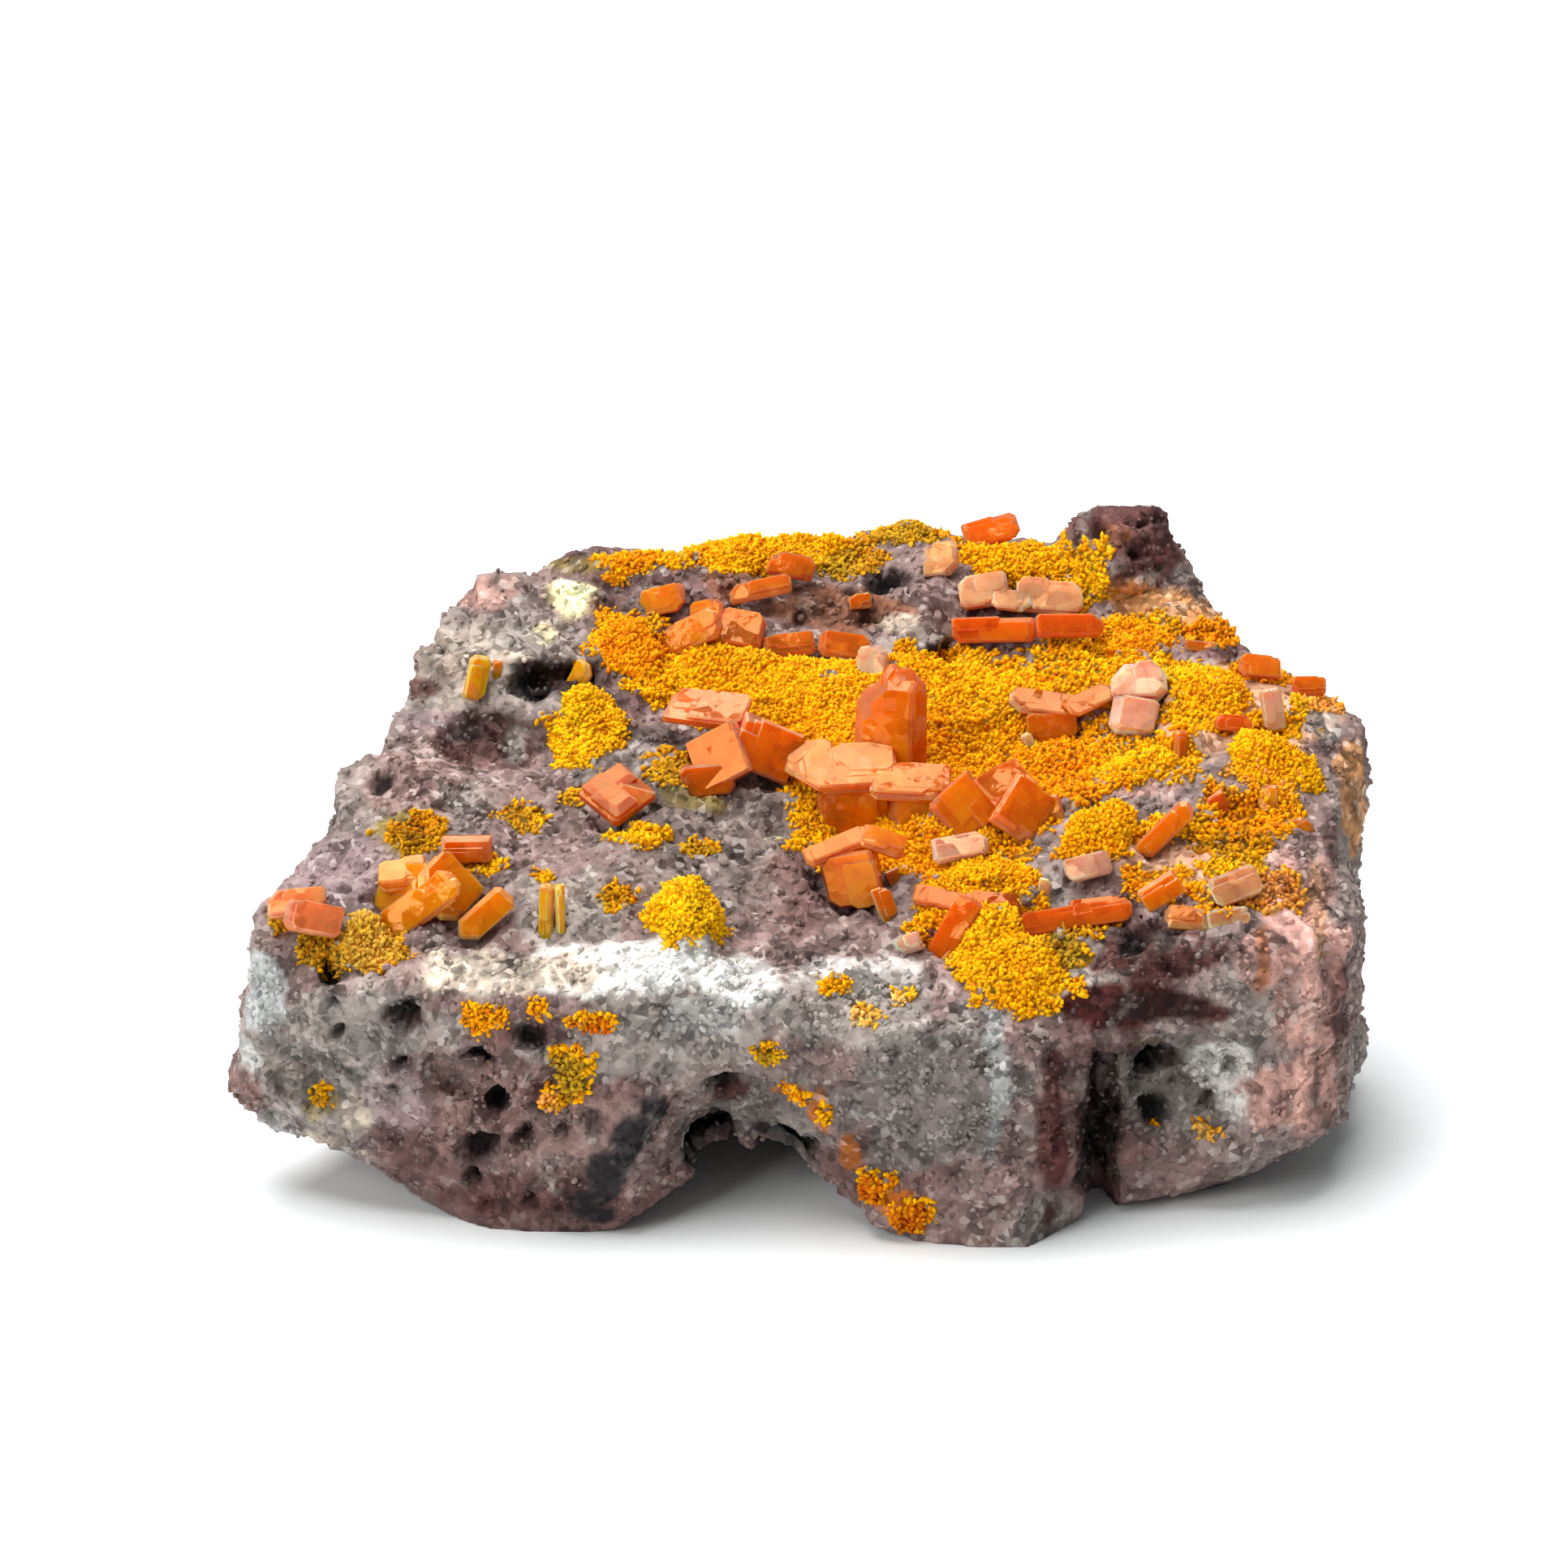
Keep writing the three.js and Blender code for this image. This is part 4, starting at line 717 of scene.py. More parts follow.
generator = np.random.default_rng(8)
skin_normals = outward(rock_skin, rock_squares)
face_middles = rock_skin[rock_squares].mean(1)
face_druse = druse[rock_squares].mean(1)
lifted = smoothstep(1 * MM, 2 * MM, face_middles[:, 2])
bare = (1 - thick[rock_squares].mean(1)) * (1 - sleek[rock_squares].mean(1))
places, drawn = scatter(rock_skin, rock_squares, GRAINS, generator, lifted * (0.5 + face_druse) * bare)
normals = skin_normals[rock_squares[drawn, 0]]
sizes = generator.uniform(*GRAIN_SIZES, (len(places), 1))
sizes = sizes * generator.uniform(0.6, 1.2, (len(places), 3)) * 0.7
points, faces = repeated(*pebble(), places, turned(leant(normals, 0.5, generator), generator), sizes)
own = tint[rock_squares[drawn, 0]]
paler = (generator.random(len(places)) ** 2 * (0.03 + 0.16 * face_druse[drawn]))[:, None]
own = (own + paler * (COLOURS["quartz"] - own)) * generator.uniform(0.72, 1.02, (len(places), 1))
quartz = Finish("quartz grains", IOR=1.54, Roughness=0.55, Specular_IOR_Level=0.3)
quartz.set(Base_Color=quartz.mix(quartz.noise(0.3 * MM) * 0.12, quartz.layer("tint"), COLOURS["grey"]))
grains = piece("rock_grains", points, faces, smooth=False, tint=np.repeat(np.clip(own, 0, 1), 12, axis=0))
grains.data.materials.append(quartz.material)

# Mimetite: a crust of tiny rounded barrels, grown in clusters like bunches of grapes over every hollow of
# the upper face. A crust is its own lumpy body, clear yellow to amber, with thousands of barrels set on
# it.
BARREL = 0.165 * MM
CRUST_SKIN = 0.2 * MM
SQUARE = 0.04  # square mm, one face of that skin
FULL_CRUST = 130  # square mm, the largest crust
MOST_BARRELS = 3600
CRUST_HUES = {"mimetite_ball": "lemon", "mimetite_left": "lemon", "mimetite_upper_left": "amber",
              "mimetite_shoulder_back": "amber", "mimetite_shelf": "straw"}


def barrel():
    """A five-sided barrel a little taller than wide: two rings of five points between two pointed ends."""
    angles = np.arange(5) * 2 * pi / 5
    ring = np.stack([np.cos(angles), np.sin(angles)], 1)
    rings = [np.c_[radius * ring, np.full(5, height)] for height, radius in ((-0.4, 0.95), (0.5, 0.85))]
    points = np.concatenate([[(0, 0, -1)], *rings, [(0, 0, 1.1)]])
    here, there = np.arange(5), (np.arange(5) + 1) % 5
    walls = [np.stack([1 + here, 1 + there, 6 + there], 1), np.stack([1 + here, 6 + there, 6 + here], 1)]
    ends = [np.stack([0 * here, 1 + there, 1 + here], 1), np.stack([0 * here + 11, 6 + here, 6 + there], 1)]
    return points, np.concatenate([*walls, *ends])


def barrels(places, normals, hues, generator):
    """Barrels at the places, leaning every way, each with its own size and tone, and with painted shade:
    the foot is darker and more orange than the tip."""
    count = len(places)
    leaning = leant(normals, 1.1, generator)
    sizes = BARREL * generator.uniform(0.5, 1.3, (count, 1))
    sizes = sizes * generator.uniform((0.6, 0.5, 1.2), (1, 0.9, 2), (count, 3))
    form, triangles = barrel()
    points, faces = repeated(form, triangles, places, turned(leaning, generator), sizes)
    height = np.tile((form[:, 2] + 1) / 2.1, count)[:, None]
    own = np.repeat(hues * generator.uniform(0.7, 1.12, (count, 1)), len(form), axis=0)
    # Painted shade at the foot of each barrel, fading to its tip
    foot = own * np.array([0.62, 0.4, 0.3])
    return points, faces, np.clip(foot + (own - foot) * smoothstep(0.1, 0.9, height), 0, 1)


def varied(places, hues, generator):
    """The hues at the places: patches two millimetres across lean to lemon or to amber."""
    lean = cloud(places, 1.5 * MM, 90)[:, None] + 0.35 * generator.normal(size=(len(places), 1))
    mixed = hues + np.clip(lean, 0, 1) * 0.5 * (HUES["lemon"] - hues)
    return mixed + np.clip(-lean, 0, 1) * 0.5 * (HUES["amber"] - mixed)


honey = Finish("mimetite", Roughness=0.5, IOR=1.5, Specular_IOR_Level=0.07)
mottle = honey.band(honey.noise(0.9 * MM, 3), 0.5, 0.7) * 0.35
honey.set(Base_Color=honey.mix(mottle, honey.layer("tint"), HUES["lemon"]),
          Normal=honey.bump(honey.noise(0.12 * MM, 2), 0.02 * MM))
for order, name in enumerate(crust_names):
    generator = np.random.default_rng(100 + order)
    points, faces = skinned([welded(name)], CRUST_SKIN)
    normals = outward(points, faces)
    _, from_seed, _ = splinters(points, 1.15 * MM, 81)
    rise = (0.28 * (0.55 - from_seed) + 0.1 * cloud(points, 2.2 * MM, 82)) * MM
    points = points + (rise * smoothstep(-0.2, 0.3, normals[:, 2]))[:, None] * normals
    normals = outward(points, faces)
    hue = HUES[CRUST_HUES.get(name, "yellow")]
    # The crust between the barrels is painted darker and more orange, as shade
    bed = varied(points, hue, generator) * np.array([0.6, 0.4, 0.25])
    up = smoothstep(-0.25, 0.1, normals[faces[:, 0], 2])
    wanted = int(MOST_BARRELS * min(1, up.sum() * SQUARE / FULL_CRUST))
    places, drawn = scatter(points, faces, 8 * wanted, generator, up)
    kept = spread(places, 1.2 * BARREL)
    places, corner = places[kept], faces[drawn[kept], 0]
    *tops, own = barrels(places, normals[corner], varied(places, hue, generator), generator)
    triangles = np.concatenate([faces[:, [0, 1, 2]], faces[:, [0, 2, 3]]])
    crust = piece(name + "_grains", *joined([(points, triangles), tops]), tint=np.concatenate([bed, own]))
    crust.data.materials.append(honey.material)
    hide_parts(name)

# Between and round the domes the same barrels stand on the rock itself, thick in the middle of a patch and
# scattered at its rim. They are parted in three stretches from left to right.
STRETCHES = {"left": (-40 * MM, -3 * MM, 5500), "middle": (-3 * MM, 9 * MM, 6500),
             "right": (9 * MM, 40 * MM, 7000)}
lumpy = smoothstep(0.45, 0.75, thick + 0.25 * cloud(rock_skin, 0.9 * MM, 83))
for order, (name, (west, east, wanted)) in enumerate(STRETCHES.items()):
    generator = np.random.default_rng(200 + order)
    weights = lumpy[rock_squares].mean(1) * ((face_middles[:, 0] > west) & (face_middles[:, 0] <= east))
    places, drawn = scatter(rock_skin, rock_squares, 4 * wanted, generator, weights)
    kept = spread(places, 1.25 * BARREL)
    kept = generator.permutation(kept)[:wanted]
    places, corner = places[kept], rock_squares[drawn[kept], 0]
    hues = varied(places, crust_hues[corner], generator)
    points, faces, own = barrels(places, skin_normals[corner], hues, generator)
    patch = piece(f"mimetite_{name}_spread", points, faces, tint=own)
    patch.data.materials.append(honey.material)

# Wulfenite: square tablets, grown flat or on edge and often through one another, with bevelled rims and
# low steps on their faces. They are clear orange, with a paler colour painted on as reflection on their
# flat tops and as highlight on their thin rims: each tone gives the body's colour and that paler one.
TONES = {"orange": ("ff8000", "ff9868"), "red": ("ff6c00", "ff8c5c"), "brown": ("e86c00", "ffac88"),
         "amber": ("ff9004", "ffac68"), "coral": ("ff8c50", "ffae90"), "pink": ("ffb898", "ffd4c4"),
         "yellow": ("ffac10", "ffd888"), "peach": ("ffac74", "ffd0b4")}
# Each group's tone and its tablets: the pixel where a tablet's middle is seen, how far back that is, its
# width, height and thickness, the azimuth and elevation that it faces, its spin, the cut of its corners
# (all alike, or from the lower right round to the lower left) and its rims (all alike, or right, top, left
# and bottom), in mm
CRYSTALS = {
    "centre": ("orange", [
        ((1092, 892), -0.6, (3.2, 4.8, 1.9), (-16, 12), 2, (0.2, 0.3, 1.2, 0.2), (0.3, 1.4, 0.6, 0.15)),
        ((1116, 884), -0.4, (2.3, 5.2, 1.4), (34, 8), -7, (0.3, 0.9, 0.6, 0.2), (0.3, 0.8, 0.2, 0.15)),
        ((1040, 946), -2.8, (5.2, 3.2, 0.45), (-6, 68), 8, (0.5, 0.4, 1.2, 1.1), (0.2, 0.2, 0.3, 0.25)),
        ((1122, 964), -3.9, (4.1, 2.4, 0.4), (5, 64), -7, (0.9, 0.3, 0.8, 0.4), (0.2, 0.15, 0.25, 0.25)),
        ((996, 935), -1.8, (2.4, 2.2, 0.4), (-30, 60), 22, 0.3, 0.2),
        ((1058, 1000), -3, (4, 3.2, 2.2), (-6, 12), 4, 0.7, (0.4, 0.2, 0.7, 0.6)),
        ((1132, 1010), -4, (3.2, 2.8, 1.9), (12, 14), -6, 0.4, 0.3),
        ((1188, 996), -5.1, (2.8, 2.8, 0.8), (8, 26), 40, 0.1, 0.25),
        ((1262, 1000), -5.3, (3, 2.9, 0.9), (28, 24), 44, 0.1, (0.2, 0.2, 0.6, 0.5)),
        ((1240, 966), -4.5, (2.6, 2, 0.7), (4, 50), 32, 0.2, (0.2, 0.2, 0.3, 0.2))]),
    "front_block": ("orange", [
        ((1031, 1044), -8, (3.5, 1.2, 0.5), (-20, 56), 36, (0.2, 0.1, 0.1, 0.3), (0.12, 0.12, 0.12, 0.2)),
        ((1088, 1038), -8, (2.3, 1.4, 0.5), (24, 54), -34, (0.2, 0.1, 0.1, 0.2), (0.12, 0.12, 0.12, 0.2)),
        ((1050, 1082), -8.2, (2.9, 2.9, 1.8), (-10, 8), 12, (0.7, 0.3, 0.5, 0.5), (0.3, 0.2, 0.3, 0.3))]),
    "brown_group": ("brown", [
        ((872, 874), 0.6, (4.2, 2.4, 0.6), (-10, 74), -6, 0.3, (0.2, 0.2, 0.3, 0.25)),
        ((888, 932), -1.5, (3, 2.9, 1.5), (-22, 26), 34, 0.1, (0.15, 0.2, 0.15, 0.15)),
        ((942, 922), -0.9, (3.3, 2.8, 1.6), (16, 22), -28, 0.1, (0.12, 0.5, 0.12, 0.12)),
        ((872, 960), -2, (2.8, 1.7, 1.2), (-6, 14), 8, 0.3, 0.3)]),
    "bipyramid": ("brown", [((761, 980), -4.2, (2.8, 2.8, 1.8), (-4, 58), 45, 0.15, 1.1)]),
    "tablet": ("brown", [((575, 1046), -7.9, (2.6, 1.4, 0.8), (2, 10), 0, 0.1, (0.2, 0.25, 0.2, 0.1))]),
    "rosette": ("amber", [
        ((498, 1098), -9.7, (3, 2.8, 0.7), (-35, 34), 10, 0.5, (0.2, 0.3, 0.3, 0.2)),
        ((520, 1114), -10.8, (4.6, 1.8, 0.9), (-20, 20), 42, 0.4, 0.3),
        ((550, 1094), -10.2, (2.8, 3.1, 0.7), (30, 26), 32, 0.4, (0.2, 0.3, 0.2, 0.3)),
        ((496, 1076), -9.4, (2.4, 1.8, 0.6), (-10, 66), 15, 0.3, 0.2)]),
    "leaf": ("amber", [((597, 1128), -11.4, (3.3, 1.4, 0.7), (-5, 18), 44, 0.5, (0.3, 0.2, 0.3, 0.2))]),
    "left_pair": ("coral", [
        ((366, 1112), -10.6, (3, 1.5, 0.6), (-10, 44), 10, 0.3, (0.3, 0.2, 0.3, 0.2)),
        ((386, 1132), -11.8, (2.9, 1.6, 0.7), (6, 40), -14, 0.3, (0.2, 0.2, 0.3, 0.2))]),
    "yellow_blade": ("yellow", [
        ((674, 1124), -11.6, (0.7, 3, 0.6), (-14, 8), 2, 0.1, (0.1, 0.2, 0.1, 0.1)),
        ((690, 1120), -11.7, (0.5, 2.6, 0.5), (20, 8), -3, 0.1, (0.1, 0.2, 0.1, 0.1))]),
    "recess_blade": ("yellow", [
        ((714, 838), 4.2, (1.1, 2.2, 0.5), (-40, 12), -25, 0.2, (0.1, 0.2, 0.1, 0.1))]),
    "knob_blade": ("yellow", [((588, 835), 3, (1.2, 2.4, 0.5), (25, 12), -18, 0.2, (0.1, 0.2, 0.1, 0.1))]),
    "ridge_left": ("orange", [
        ((848, 782), 7.1, (4, 1.7, 0.7), (-30, 26), 33, 0.4, (0.2, 0.3, 0.2, 0.2)),
        ((902, 776), 7.7, (3.4, 2.3, 0.8), (10, 50), -15, 0.5, (0.2, 0.3, 0.3, 0.2)),
        ((872, 758), 8.1, (1.8, 1.6, 0.6), (-20, 40), 20, 0.2, 0.2)]),
    "ridge_middle": ("orange", [((972, 796), 7.4, (2.8, 1.3, 0.6), (5, 46), 5, 0.3, 0.2)]),
    "ridge_right": ("orange", [((1040, 797), 7.5, (2.8, 1.4, 0.7), (0, 40), -8, 0.3, 0.2)]),
    "bowl_back": ("pink", [((1076, 818), 5.4, (1.6, 1.9, 0.8), (-14, 30), 14, 0.3, (0.3, 0.2, 0.2, 0.2))]),
    "skyline_left": ("orange", [((818, 740), 8.8, (2.4, 1.5, 0.6), (-20, 34), 20, 0.3, 0.2)]),
    "back_lump": ("orange", [((976, 698), 11.9, (2.5, 1.3, 0.8), (0, 36), -12, 0.4, (0.3, 0.3, 0.3, 0.2))]),
    "back_blade": ("orange", [((937, 726), 9.9, (3.4, 1.1, 0.5), (-5, 40), 15, 0.3, 0.2)]),
    "back_block": ("peach", [((1160, 690), 11.7, (1.9, 1.8, 0.9), (-20, 30), 15, 0.3, 0.3)]),
    "skyline": ("red", [((1222, 655), 14, (3, 1.5, 0.8), (-15, 35), 22, 0.4, (0.3, 0.3, 0.4, 0.2))]),
    "pink_left": ("peach", [
        ((1212, 728), 10, (2.7, 2.1, 0.7), (0, 54), 10, 0.4, (0.2, 0.3, 0.2, 0.3)),
        ((1246, 740), 9.4, (2.2, 1.4, 0.5), (6, 60), -12, 0.3, 0.2)]),
    "pink_right": ("peach", [((1292, 736), 10.1, (3.5, 2, 0.7), (10, 50), -8, 0.4, (0.3, 0.2, 0.2, 0.3))]),
    "long_back": ("red", [((1225, 777), 7.7, (4.5, 1.3, 0.9), (-5, 30), 3, 0.3, (0.2, 0.3, 0.3, 0.2))]),
    "short_back": ("red", [((1318, 772), 7.7, (3.7, 1.2, 0.8), (8, 34), -2, 0.3, (0.3, 0.3, 0.2, 0.2))]),
    "boat": ("orange", [
        ((1284, 868), 2.8, (3.5, 1.5, 0.35), (0, 60), -9, (0.5, 0.2, 0.3, 0.6), (0.2, 0.15, 0.3, 0.3)),
        ((1343, 862), 2.7, (3, 1.3, 0.35), (10, 60), 24, (0.5, 0.4, 0.2, 0.3), (0.3, 0.15, 0.1, 0.3)),
        ((1296, 896), 2.4, (2.6, 1.8, 0.9), (0, 12), 4, 0.2, 0.15)]),
    "frosted": ("pink", [
        ((1404, 842), 3.2, (2.9, 2.1, 1.6), (-10, 38), 8, 0.6, (0.4, 0.4, 0.4, 0.3)),
        ((1396, 884), 1.8, (2.4, 2.1, 1.5), (5, 30), -12, 0.5, (0.4, 0.4, 0.4, 0.3))]),
    "shoulder_flake": ("red", [((1520, 891), 0, (1.9, 0.9, 0.5), (0, 40), -5, 0.2, (0.2, 0.1, 0.2, 0.1))]),
    "shoulder_blade": ("pink", [
        ((1568, 874), 1.1, (1.2, 2.2, 0.5), (20, 18), 5, 0.2, (0.2, 0.2, 0.1, 0.1))]),
    "rim_right": ("orange", [((1613, 846), 4.2, (1.8, 1, 0.6), (0, 40), 0, 0.2, (0.2, 0.2, 0.2, 0.1))]),
    "rim_back": ("orange", [((1552, 822), 5.5, (2.3, 1.2, 0.6), (10, 40), -10, 0.3, (0.2, 0.2, 0.2, 0.1))]),
    "diagonal": ("orange", [
        ((1437, 1022), -6.7, (3.5, 1.1, 0.6), (-10, 20), 48, 0.2, (0.2, 0.2, 0.2, 0.1))]),
    "lip_flake": ("pink", [((1340, 1068), -8.7, (2.4, 1.3, 0.6), (0, 44), 15, 0.3, 0.2)]),
    "arrow": ("red", [
        ((1160, 1108), -9.7, (2.8, 1.2, 0.5), (-10, 58), -8, 0.3, (0.1, 0.2, 0.3, 0.2)),
        ((1222, 1112), -9.8, (3, 1.1, 0.5), (10, 58), -10, 0.3, (0.3, 0.2, 0.1, 0.2)),
        ((1174, 1150), -11.2, (1.4, 3.9, 0.9), (-15, 24), -22, 0.3, (0.3, 0.3, 0.2, 0.3))]),
    "long_front": ("red", [
        ((1325, 1130), -10.8, (5.8, 1.2, 0.6), (0, 34), 9, (0.5, 0.3, 0.5, 0.2), (0.3, 0.2, 0.3, 0.15)),
        ((1350, 1118), -10.4, (2.6, 1, 0.6), (6, 50), 4, 0.2, 0.2)]),
    "front_chip": ("orange", [((1430, 1098), -10.7, (2.2, 1.3, 0.6), (5, 22), 30, 0.2, 0.2)]),
    "right_plate": ("peach", [((1522, 1092), -10.2, (2.6, 1.6, 0.6), (0, 40), 22, 0.3, 0.2)]),
    "peach": ("pink", [((1183, 1044), -7.1, (2.9, 1.4, 0.7), (0, 50), 12, 0.3, 0.2)]),
}
# The smaller ones, each on the face that the camera sees at its pixel: tone, pixel, size, facing and spin
CHIPS = {
    "sliver": ("peach", (1270, 920), (0.6, 1.6, 0.4), (20, 20), 25),
    "spike": ("peach", (1285, 1105), (0.7, 1.9, 0.4), (0, 15), -15),
    "shoulder chip": ("orange", (1455, 918), (0.9, 1.6, 0.5), (30, 12), -10),
    "pink chip": ("pink", (1118, 1164), (1.5, 1, 0.6), (0, 40), 20),
    "pocket chip": ("red", (1500, 992), (1.3, 1.2, 0.5), (30, 30), 20),
    "lip chip": ("orange", (1462, 1132), (2.2, 1.2, 0.5), (-5, 50), -3),
    "lip's right chip": ("peach", (1512, 1132), (2.2, 1.1, 0.5), (5, 45), 5),
    "clear chip": ("brown", (1092, 1120), (1, 2.2, 0.5), (10, 20), 15),
    "peach flake": ("peach", (958, 1040), (1.8, 0.9, 0.3), (0, 50), 10),
    "right flake": ("orange", (1600, 1020), (1.4, 1, 0.4), (20, 40), 12),
    "pocket's right chip": ("orange", (1562, 984), (1.2, 1.4, 0.5), (-30, 20), 10),
    "knob flake": ("orange", (1480, 800), (1.8, 0.8, 0.4), (0, 40), -6),
    "back flake": ("red", (1060, 742), (1.2, 0.8, 0.4), (0, 35), 8),
    "left flake": ("orange", (716, 826), (0.8, 1.4, 0.4), (-20, 15), 18),
    "ledge flake": ("orange", (612, 832), (0.5, 1.6, 0.4), (10, 12), -8),
    "rim flake": ("orange", (1385, 728), (1.8, 0.8, 0.4), (10, 40), 12),
    "tall flake": ("orange", (1300, 1000), (0.9, 1.7, 0.5), (-20, 20), 20),
    "low flake": ("orange", (1108, 1080), (1.3, 1, 0.4), (-10, 30), 30),
}


def tablet(size, cuts, rims):
    """A tablet's four rings of eight points, their faces and how much painted highlight each face takes: an
    oblong whose corners, from the lower right round to the lower left, are cut off, half way through its
    thickness full size, and drawn in by the rims at its right, top, left and bottom on both its faces. Thin
    rims and cut corners take the most painted highlight, and the sides take painted shade."""
    width, height, thickness = size
    right, top, left, bottom = rims

    def ring(z, inset):
        x0, x1 = inset * left - width / 2, width / 2 - inset * right
        y0, y1 = inset * bottom - height / 2, height / 2 - inset * top
        a, b, c, d = np.array(cuts) * min((x1 - x0) / width, (y1 - y0) / height)
        return [(x1, y0 + a, z), (x1, y1 - b, z), (x1 - b, y1, z), (x0 + c, y1, z),
                (x0, y1 - c, z), (x0, y0 + d, z), (x0 + d, y0, z), (x1 - a, y0, z)]

    edge = thickness * 0.12
    points = np.array([*ring(-thickness / 2, 1), *ring(-edge, 0), *ring(edge, 0), *ring(thickness / 2, 1)])
    here = np.arange(8)
    there = (here + 1) % 8
    sides = [np.stack([low + here, low + there, low + 8 + there, low + 8 + here], 1) for low in (0, 8, 16)]
    # Painted highlight on thin rims and cut corners, and painted shade on the sides
    thin = [0.9 if rim < 0.8 else 0.15 for rim in (right, 0.2, top, 0.2, left, 0.2, bottom, 0.2)]
    pale = np.array([0, *thin, *[-0.3] * 8, *thin, 0])
    return points, [here[::-1].tolist(), *np.concatenate(sides).tolist(), (here + 24).tolist()], pale


def standing(points, face, spin, skew):
    """Points of a tablet turned by its spin, leant over by the skew, and faced to its azimuth and
    elevation."""
    turn, azimuth, elevation = np.radians([spin, *face])
    points = points + np.outer(points[:, 1], (skew, 0, 0))
    across = np.array([cos(azimuth), sin(azimuth), 0])
    up = np.array([-sin(azimuth) * sin(elevation), cos(azimuth) * sin(elevation), cos(elevation)])
    turned_axes = cos(turn) * across + sin(turn) * up, cos(turn) * up - sin(turn) * across
    return points @ np.stack([*turned_axes, np.cross(across, up)])


def stepped(size, face, spin, cut, rims, generator):
    """A tablet's shells round its own middle: itself, and lower plates on its faces, each half to nine
    tenths as wide, set aside so that it ends at an edge or just past it, and a tenth of a millimetre
    proud."""
    size = np.array(size)
    rims = np.ones(4) * rims
    skew = generator.uniform(-0.1, 0.1)
    cuts = cut * generator.uniform(0.2, 1.8, 4) if np.ndim(cut) == 0 else np.array(cut)
    cuts = np.minimum(cuts, 0.4 * min(size[:2]))
    form, faces, pale = tablet(size, cuts, rims)
    shells = [(standing(form, face, spin, skew), faces, pale)]
    for side in (1, 1, -1, 1)[:2 if min(size[:2]) < 1.5 else 4]:
        small = size * generator.uniform((0.5, 0.5, 0.45), (0.9, 0.9, 0.7))
        aside = (size - small) / 2 * generator.choice((-1, 1), 3) * generator.uniform(0.6, 1.2, 3)
        aside[2] = side * ((size[2] - small[2]) / 2 + generator.uniform(0.05, 0.15))
        small_rims = np.minimum(0.3 * rims + 0.03, 0.2 * min(small[:2]))
        small_cuts = np.minimum(cuts * generator.uniform(0.4, 0.9, 4), 0.4 * min(small[:2]))
        form, faces, pale = tablet(small, small_cuts, small_rims)
        tilted = np.array(face) + generator.uniform(-2.5, 2.5, 2)
        shells.append((standing(form + aside, tilted, spin, skew), faces, pale))
    return shells


def painted_light_colours(points, faces, pale, tones):
    """A colour for each face's corner, in millimetres, with light and shade painted in: the body's, with
    more of the top's on pale faces and those that look up, as painted highlight and reflection; painted
    shade, deeper and redder, on the sides; each direction has its own painted shade, darker for faces
    that look up, and clouds vary it."""
    body, top = (linear(code) for code in tones)
    corners = [points[face] for face in faces]
    across = [np.cross(c[len(c) // 2] - c[0], c[3 * len(c) // 4] - c[len(c) // 4]) for c in corners]
    normals = np.array(across) / np.linalg.norm(across, axis=1, keepdims=True)
    up = smoothstep(0.3, 0.95, normals[:, 2])
    share = np.clip(np.clip(pale, 0, 1) * (0.8 + up) + 0.15 * up, 0, 1)[:, None]
    facet_light = 0.74 + 0.46 * scramble(np.round(normals * 4), 7) - 0.3 * up
    own = (body + share * (top - body)) * facet_light[:, None]
    own = own * (1 + np.minimum(pale, 0)[:, None] * np.array([0.2, 0.6, 1]))
    own = np.repeat(own, [len(face) for face in faces], axis=0)
    return np.clip(own * (1 + 0.25 * cloud(np.concatenate(corners), 1.1, 8))[:, None], 0, 1)


def united(shells, tones):
    """One closed mesh round all the shells, and its corners' colours: a Boolean union of the first with
    the others, made in millimetres."""
    parts = bpy.data.collections.new("shells")
    makes = []
    for points, faces, pale in shells:
        mesh = bpy.data.meshes.new("shell")
        mesh.from_pydata(points, [], faces)
        colours = painted_light_colours(points, faces, pale, tones)
        layer = mesh.color_attributes.new("tint", "FLOAT_COLOR", "CORNER")
        layer.data.foreach_set("color", np.c_[colours, np.ones(len(colours))].astype(np.float32).ravel())
        makes.append(bpy.data.objects.new("shell", mesh))
    bpy.context.scene.collection.children.link(parts)
    bpy.context.scene.collection.objects.link(makes[0])
    for shell in makes[1:]:
        parts.objects.link(shell)
    union = makes[0].modifiers.new("union", "BOOLEAN")
    union.operation = "UNION"
    union.solver = "EXACT"
    union.operand_type = "COLLECTION"
    union.collection = parts
    whole = makes[0].evaluated_get(bpy.context.evaluated_depsgraph_get()).to_mesh()
    points = np.empty(3 * len(whole.vertices), np.float32)
    whole.vertices.foreach_get("co", points)
    faces = [list(polygon.vertices) for polygon in whole.polygons]
    colours = np.empty(4 * len(whole.loops), np.float32)
    whole.color_attributes["tint"].data.foreach_get("color", colours)
    for shell in makes:
        mesh = shell.data
        bpy.data.objects.remove(shell)
        bpy.data.meshes.remove(mesh)
    bpy.data.collections.remove(parts)
    return points.reshape(-1, 3).astype(float) * MM, faces, colours.reshape(-1, 4)[:, :3]


def seen_at(pixel, back):
    """The point on a pixel's sight line that lies so many millimetres back."""
    line = sight_line(pixel)
    return eye + line * (back * MM - eye[1]) / line[1]


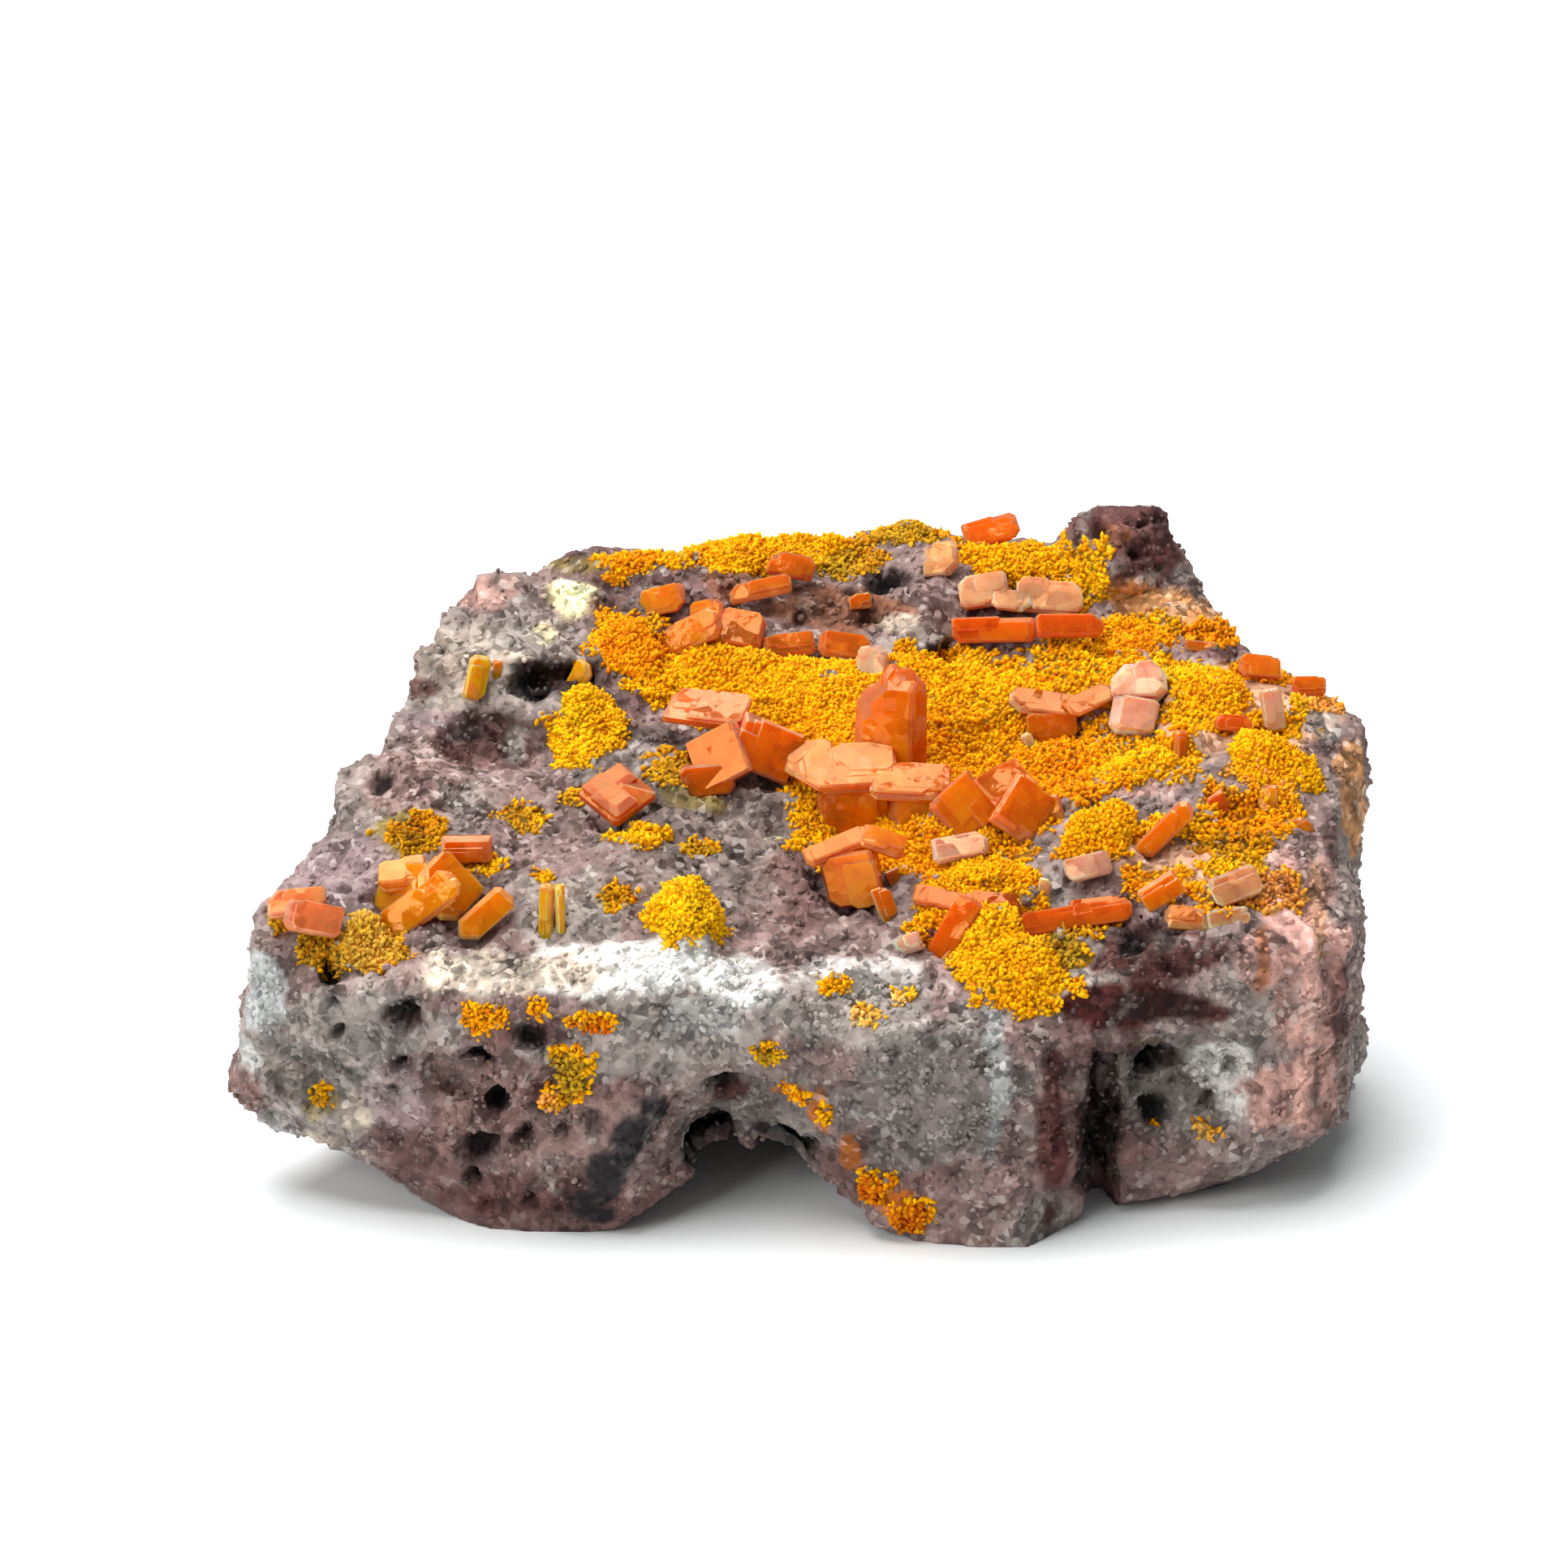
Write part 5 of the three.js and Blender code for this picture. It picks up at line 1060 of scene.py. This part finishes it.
def crystal_finish(name, rough, clear):
    """Clear crystal: it lets light through, bends it strongly and keeps the red part of it."""
    glass = Finish(name, IOR=2.3, Specular_IOR_Level=0.12, Specular_Tint=(1, 0.5, 0.2, 1),
                   Transmission_Weight=clear, Subsurface_Weight=1, Subsurface_Radius=(1, 0.3, 0.05),
                   Subsurface_Scale=1.6 * MM)
    flake, share = facets(glass, 0.8 * MM, 0.2)
    veil = glass.band(glass.noise(0.7 * MM, 6, 0.7), 0.46, 0.62)
    layer = glass.shaded(glass.layer("tint"), 0.86 + share * 0.3)
    cloudy = glass.mix(veil * 0.4, layer, glass.mix(1, layer, np.array([0.85, 0.5, 0.3]), "MULTIPLY"))
    glass.set(Base_Color=cloudy, Roughness=rough + glass.band(glass.noise(0.5 * MM, 3), 0.4, 0.8) * 0.15,
              Normal=glass.bump(flake + glass.noise(0.45 * MM, 3, 0.4) * (0.03 * MM), 1))
    return glass.material


FROSTED = ("frosted", "pink_left", "pink_right")
clear_finish = crystal_finish("wulfenite", 0.06, 0.3)
frosty_finish = crystal_finish("wulfenite, frosted", 0.4, 0.15)
for order, (name, (tone, tablets)) in enumerate(CRYSTALS.items()):
    generator = np.random.default_rng(300 + order)
    shells = []
    for pixel, back, size, face, spin, cut, rims in tablets:
        middle = seen_at(pixel, back) / MM
        shells += [(points + middle, faces, pale)
                   for points, faces, pale in stepped(size, face, spin, cut, rims, generator)]
    points, faces, colours = united(shells, TONES[tone])
    crystal = piece(f"wulfenite_{name}_crystal", points, faces, smooth=False, tint=colours)
    frosty = name in FROSTED
    crystal.data.materials.append(frosty_finish if frosty else clear_finish)
    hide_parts("wulfenite_" + name)

generator = np.random.default_rng(390)
for name, (tone, pixel, size, face, spin) in CHIPS.items():
    middle = sight(pixel) / MM
    shells = [(points + middle, faces, pale) for points, faces, pale
              in stepped(size, face, spin, 0.2 * min(size[:2]), 0.15 * size[0], generator)]
    points, faces, colours = united(shells, TONES[tone])
    plain_name = name.replace(" ", "_").replace("'", "")
    chip = piece("chip_" + plain_name, points, faces, smooth=False, tint=colours)
    chip.data.materials.append(clear_finish)

# The table it stands on: a plain white sheet under soft lights, a wide one overhead and one from the left.
HALF_SHEET = 2
floor_mesh = bpy.data.meshes.new("floor")
corners = [(x * HALF_SHEET, y * HALF_SHEET, 0) for x, y in ((-1, -1), (1, -1), (1, 1), (-1, 1))]
floor_mesh.from_pydata(corners, [], [(0, 1, 2, 3)])
floor = bpy.data.objects.new("floor", floor_mesh)
bpy.context.scene.collection.objects.link(floor)
paper = Finish("white paper", Roughness=0.9, Base_Color=(0.9, 0.92, 0.92, 1))
floor.data.materials.append(paper.material)
STONE = np.array([0, 0, 10 * MM])


def softbox(name, place, side, watts):
    """A square light of that side, at a place, turned so that its face is towards the stone."""
    lamp = bpy.data.lights.new(name, "AREA")
    lamp.size = side
    lamp.energy = watts
    box = bpy.data.objects.new(name, lamp)
    box.location = place
    away = np.array(place) - STONE
    away /= np.linalg.norm(away)
    box.rotation_euler = (np.arccos(away[2]), 0, np.arctan2(away[0], -away[1]))
    bpy.context.scene.collection.objects.link(box)


softbox("overhead", (-0.12, 0.1, 0.55), 0.55, 6.3)
softbox("front left", (-0.4, -0.35, 0.3), 0.3, 1.6)
world = bpy.data.worlds.new("room")
world.use_nodes = True
world.node_tree.nodes["Background"].inputs["Color"].default_value = (0.9, 0.98, 1, 1)
world.node_tree.nodes["Background"].inputs["Strength"].default_value = 0.22
bpy.context.scene.world = world
bpy.context.scene.view_settings.view_transform = "Standard"
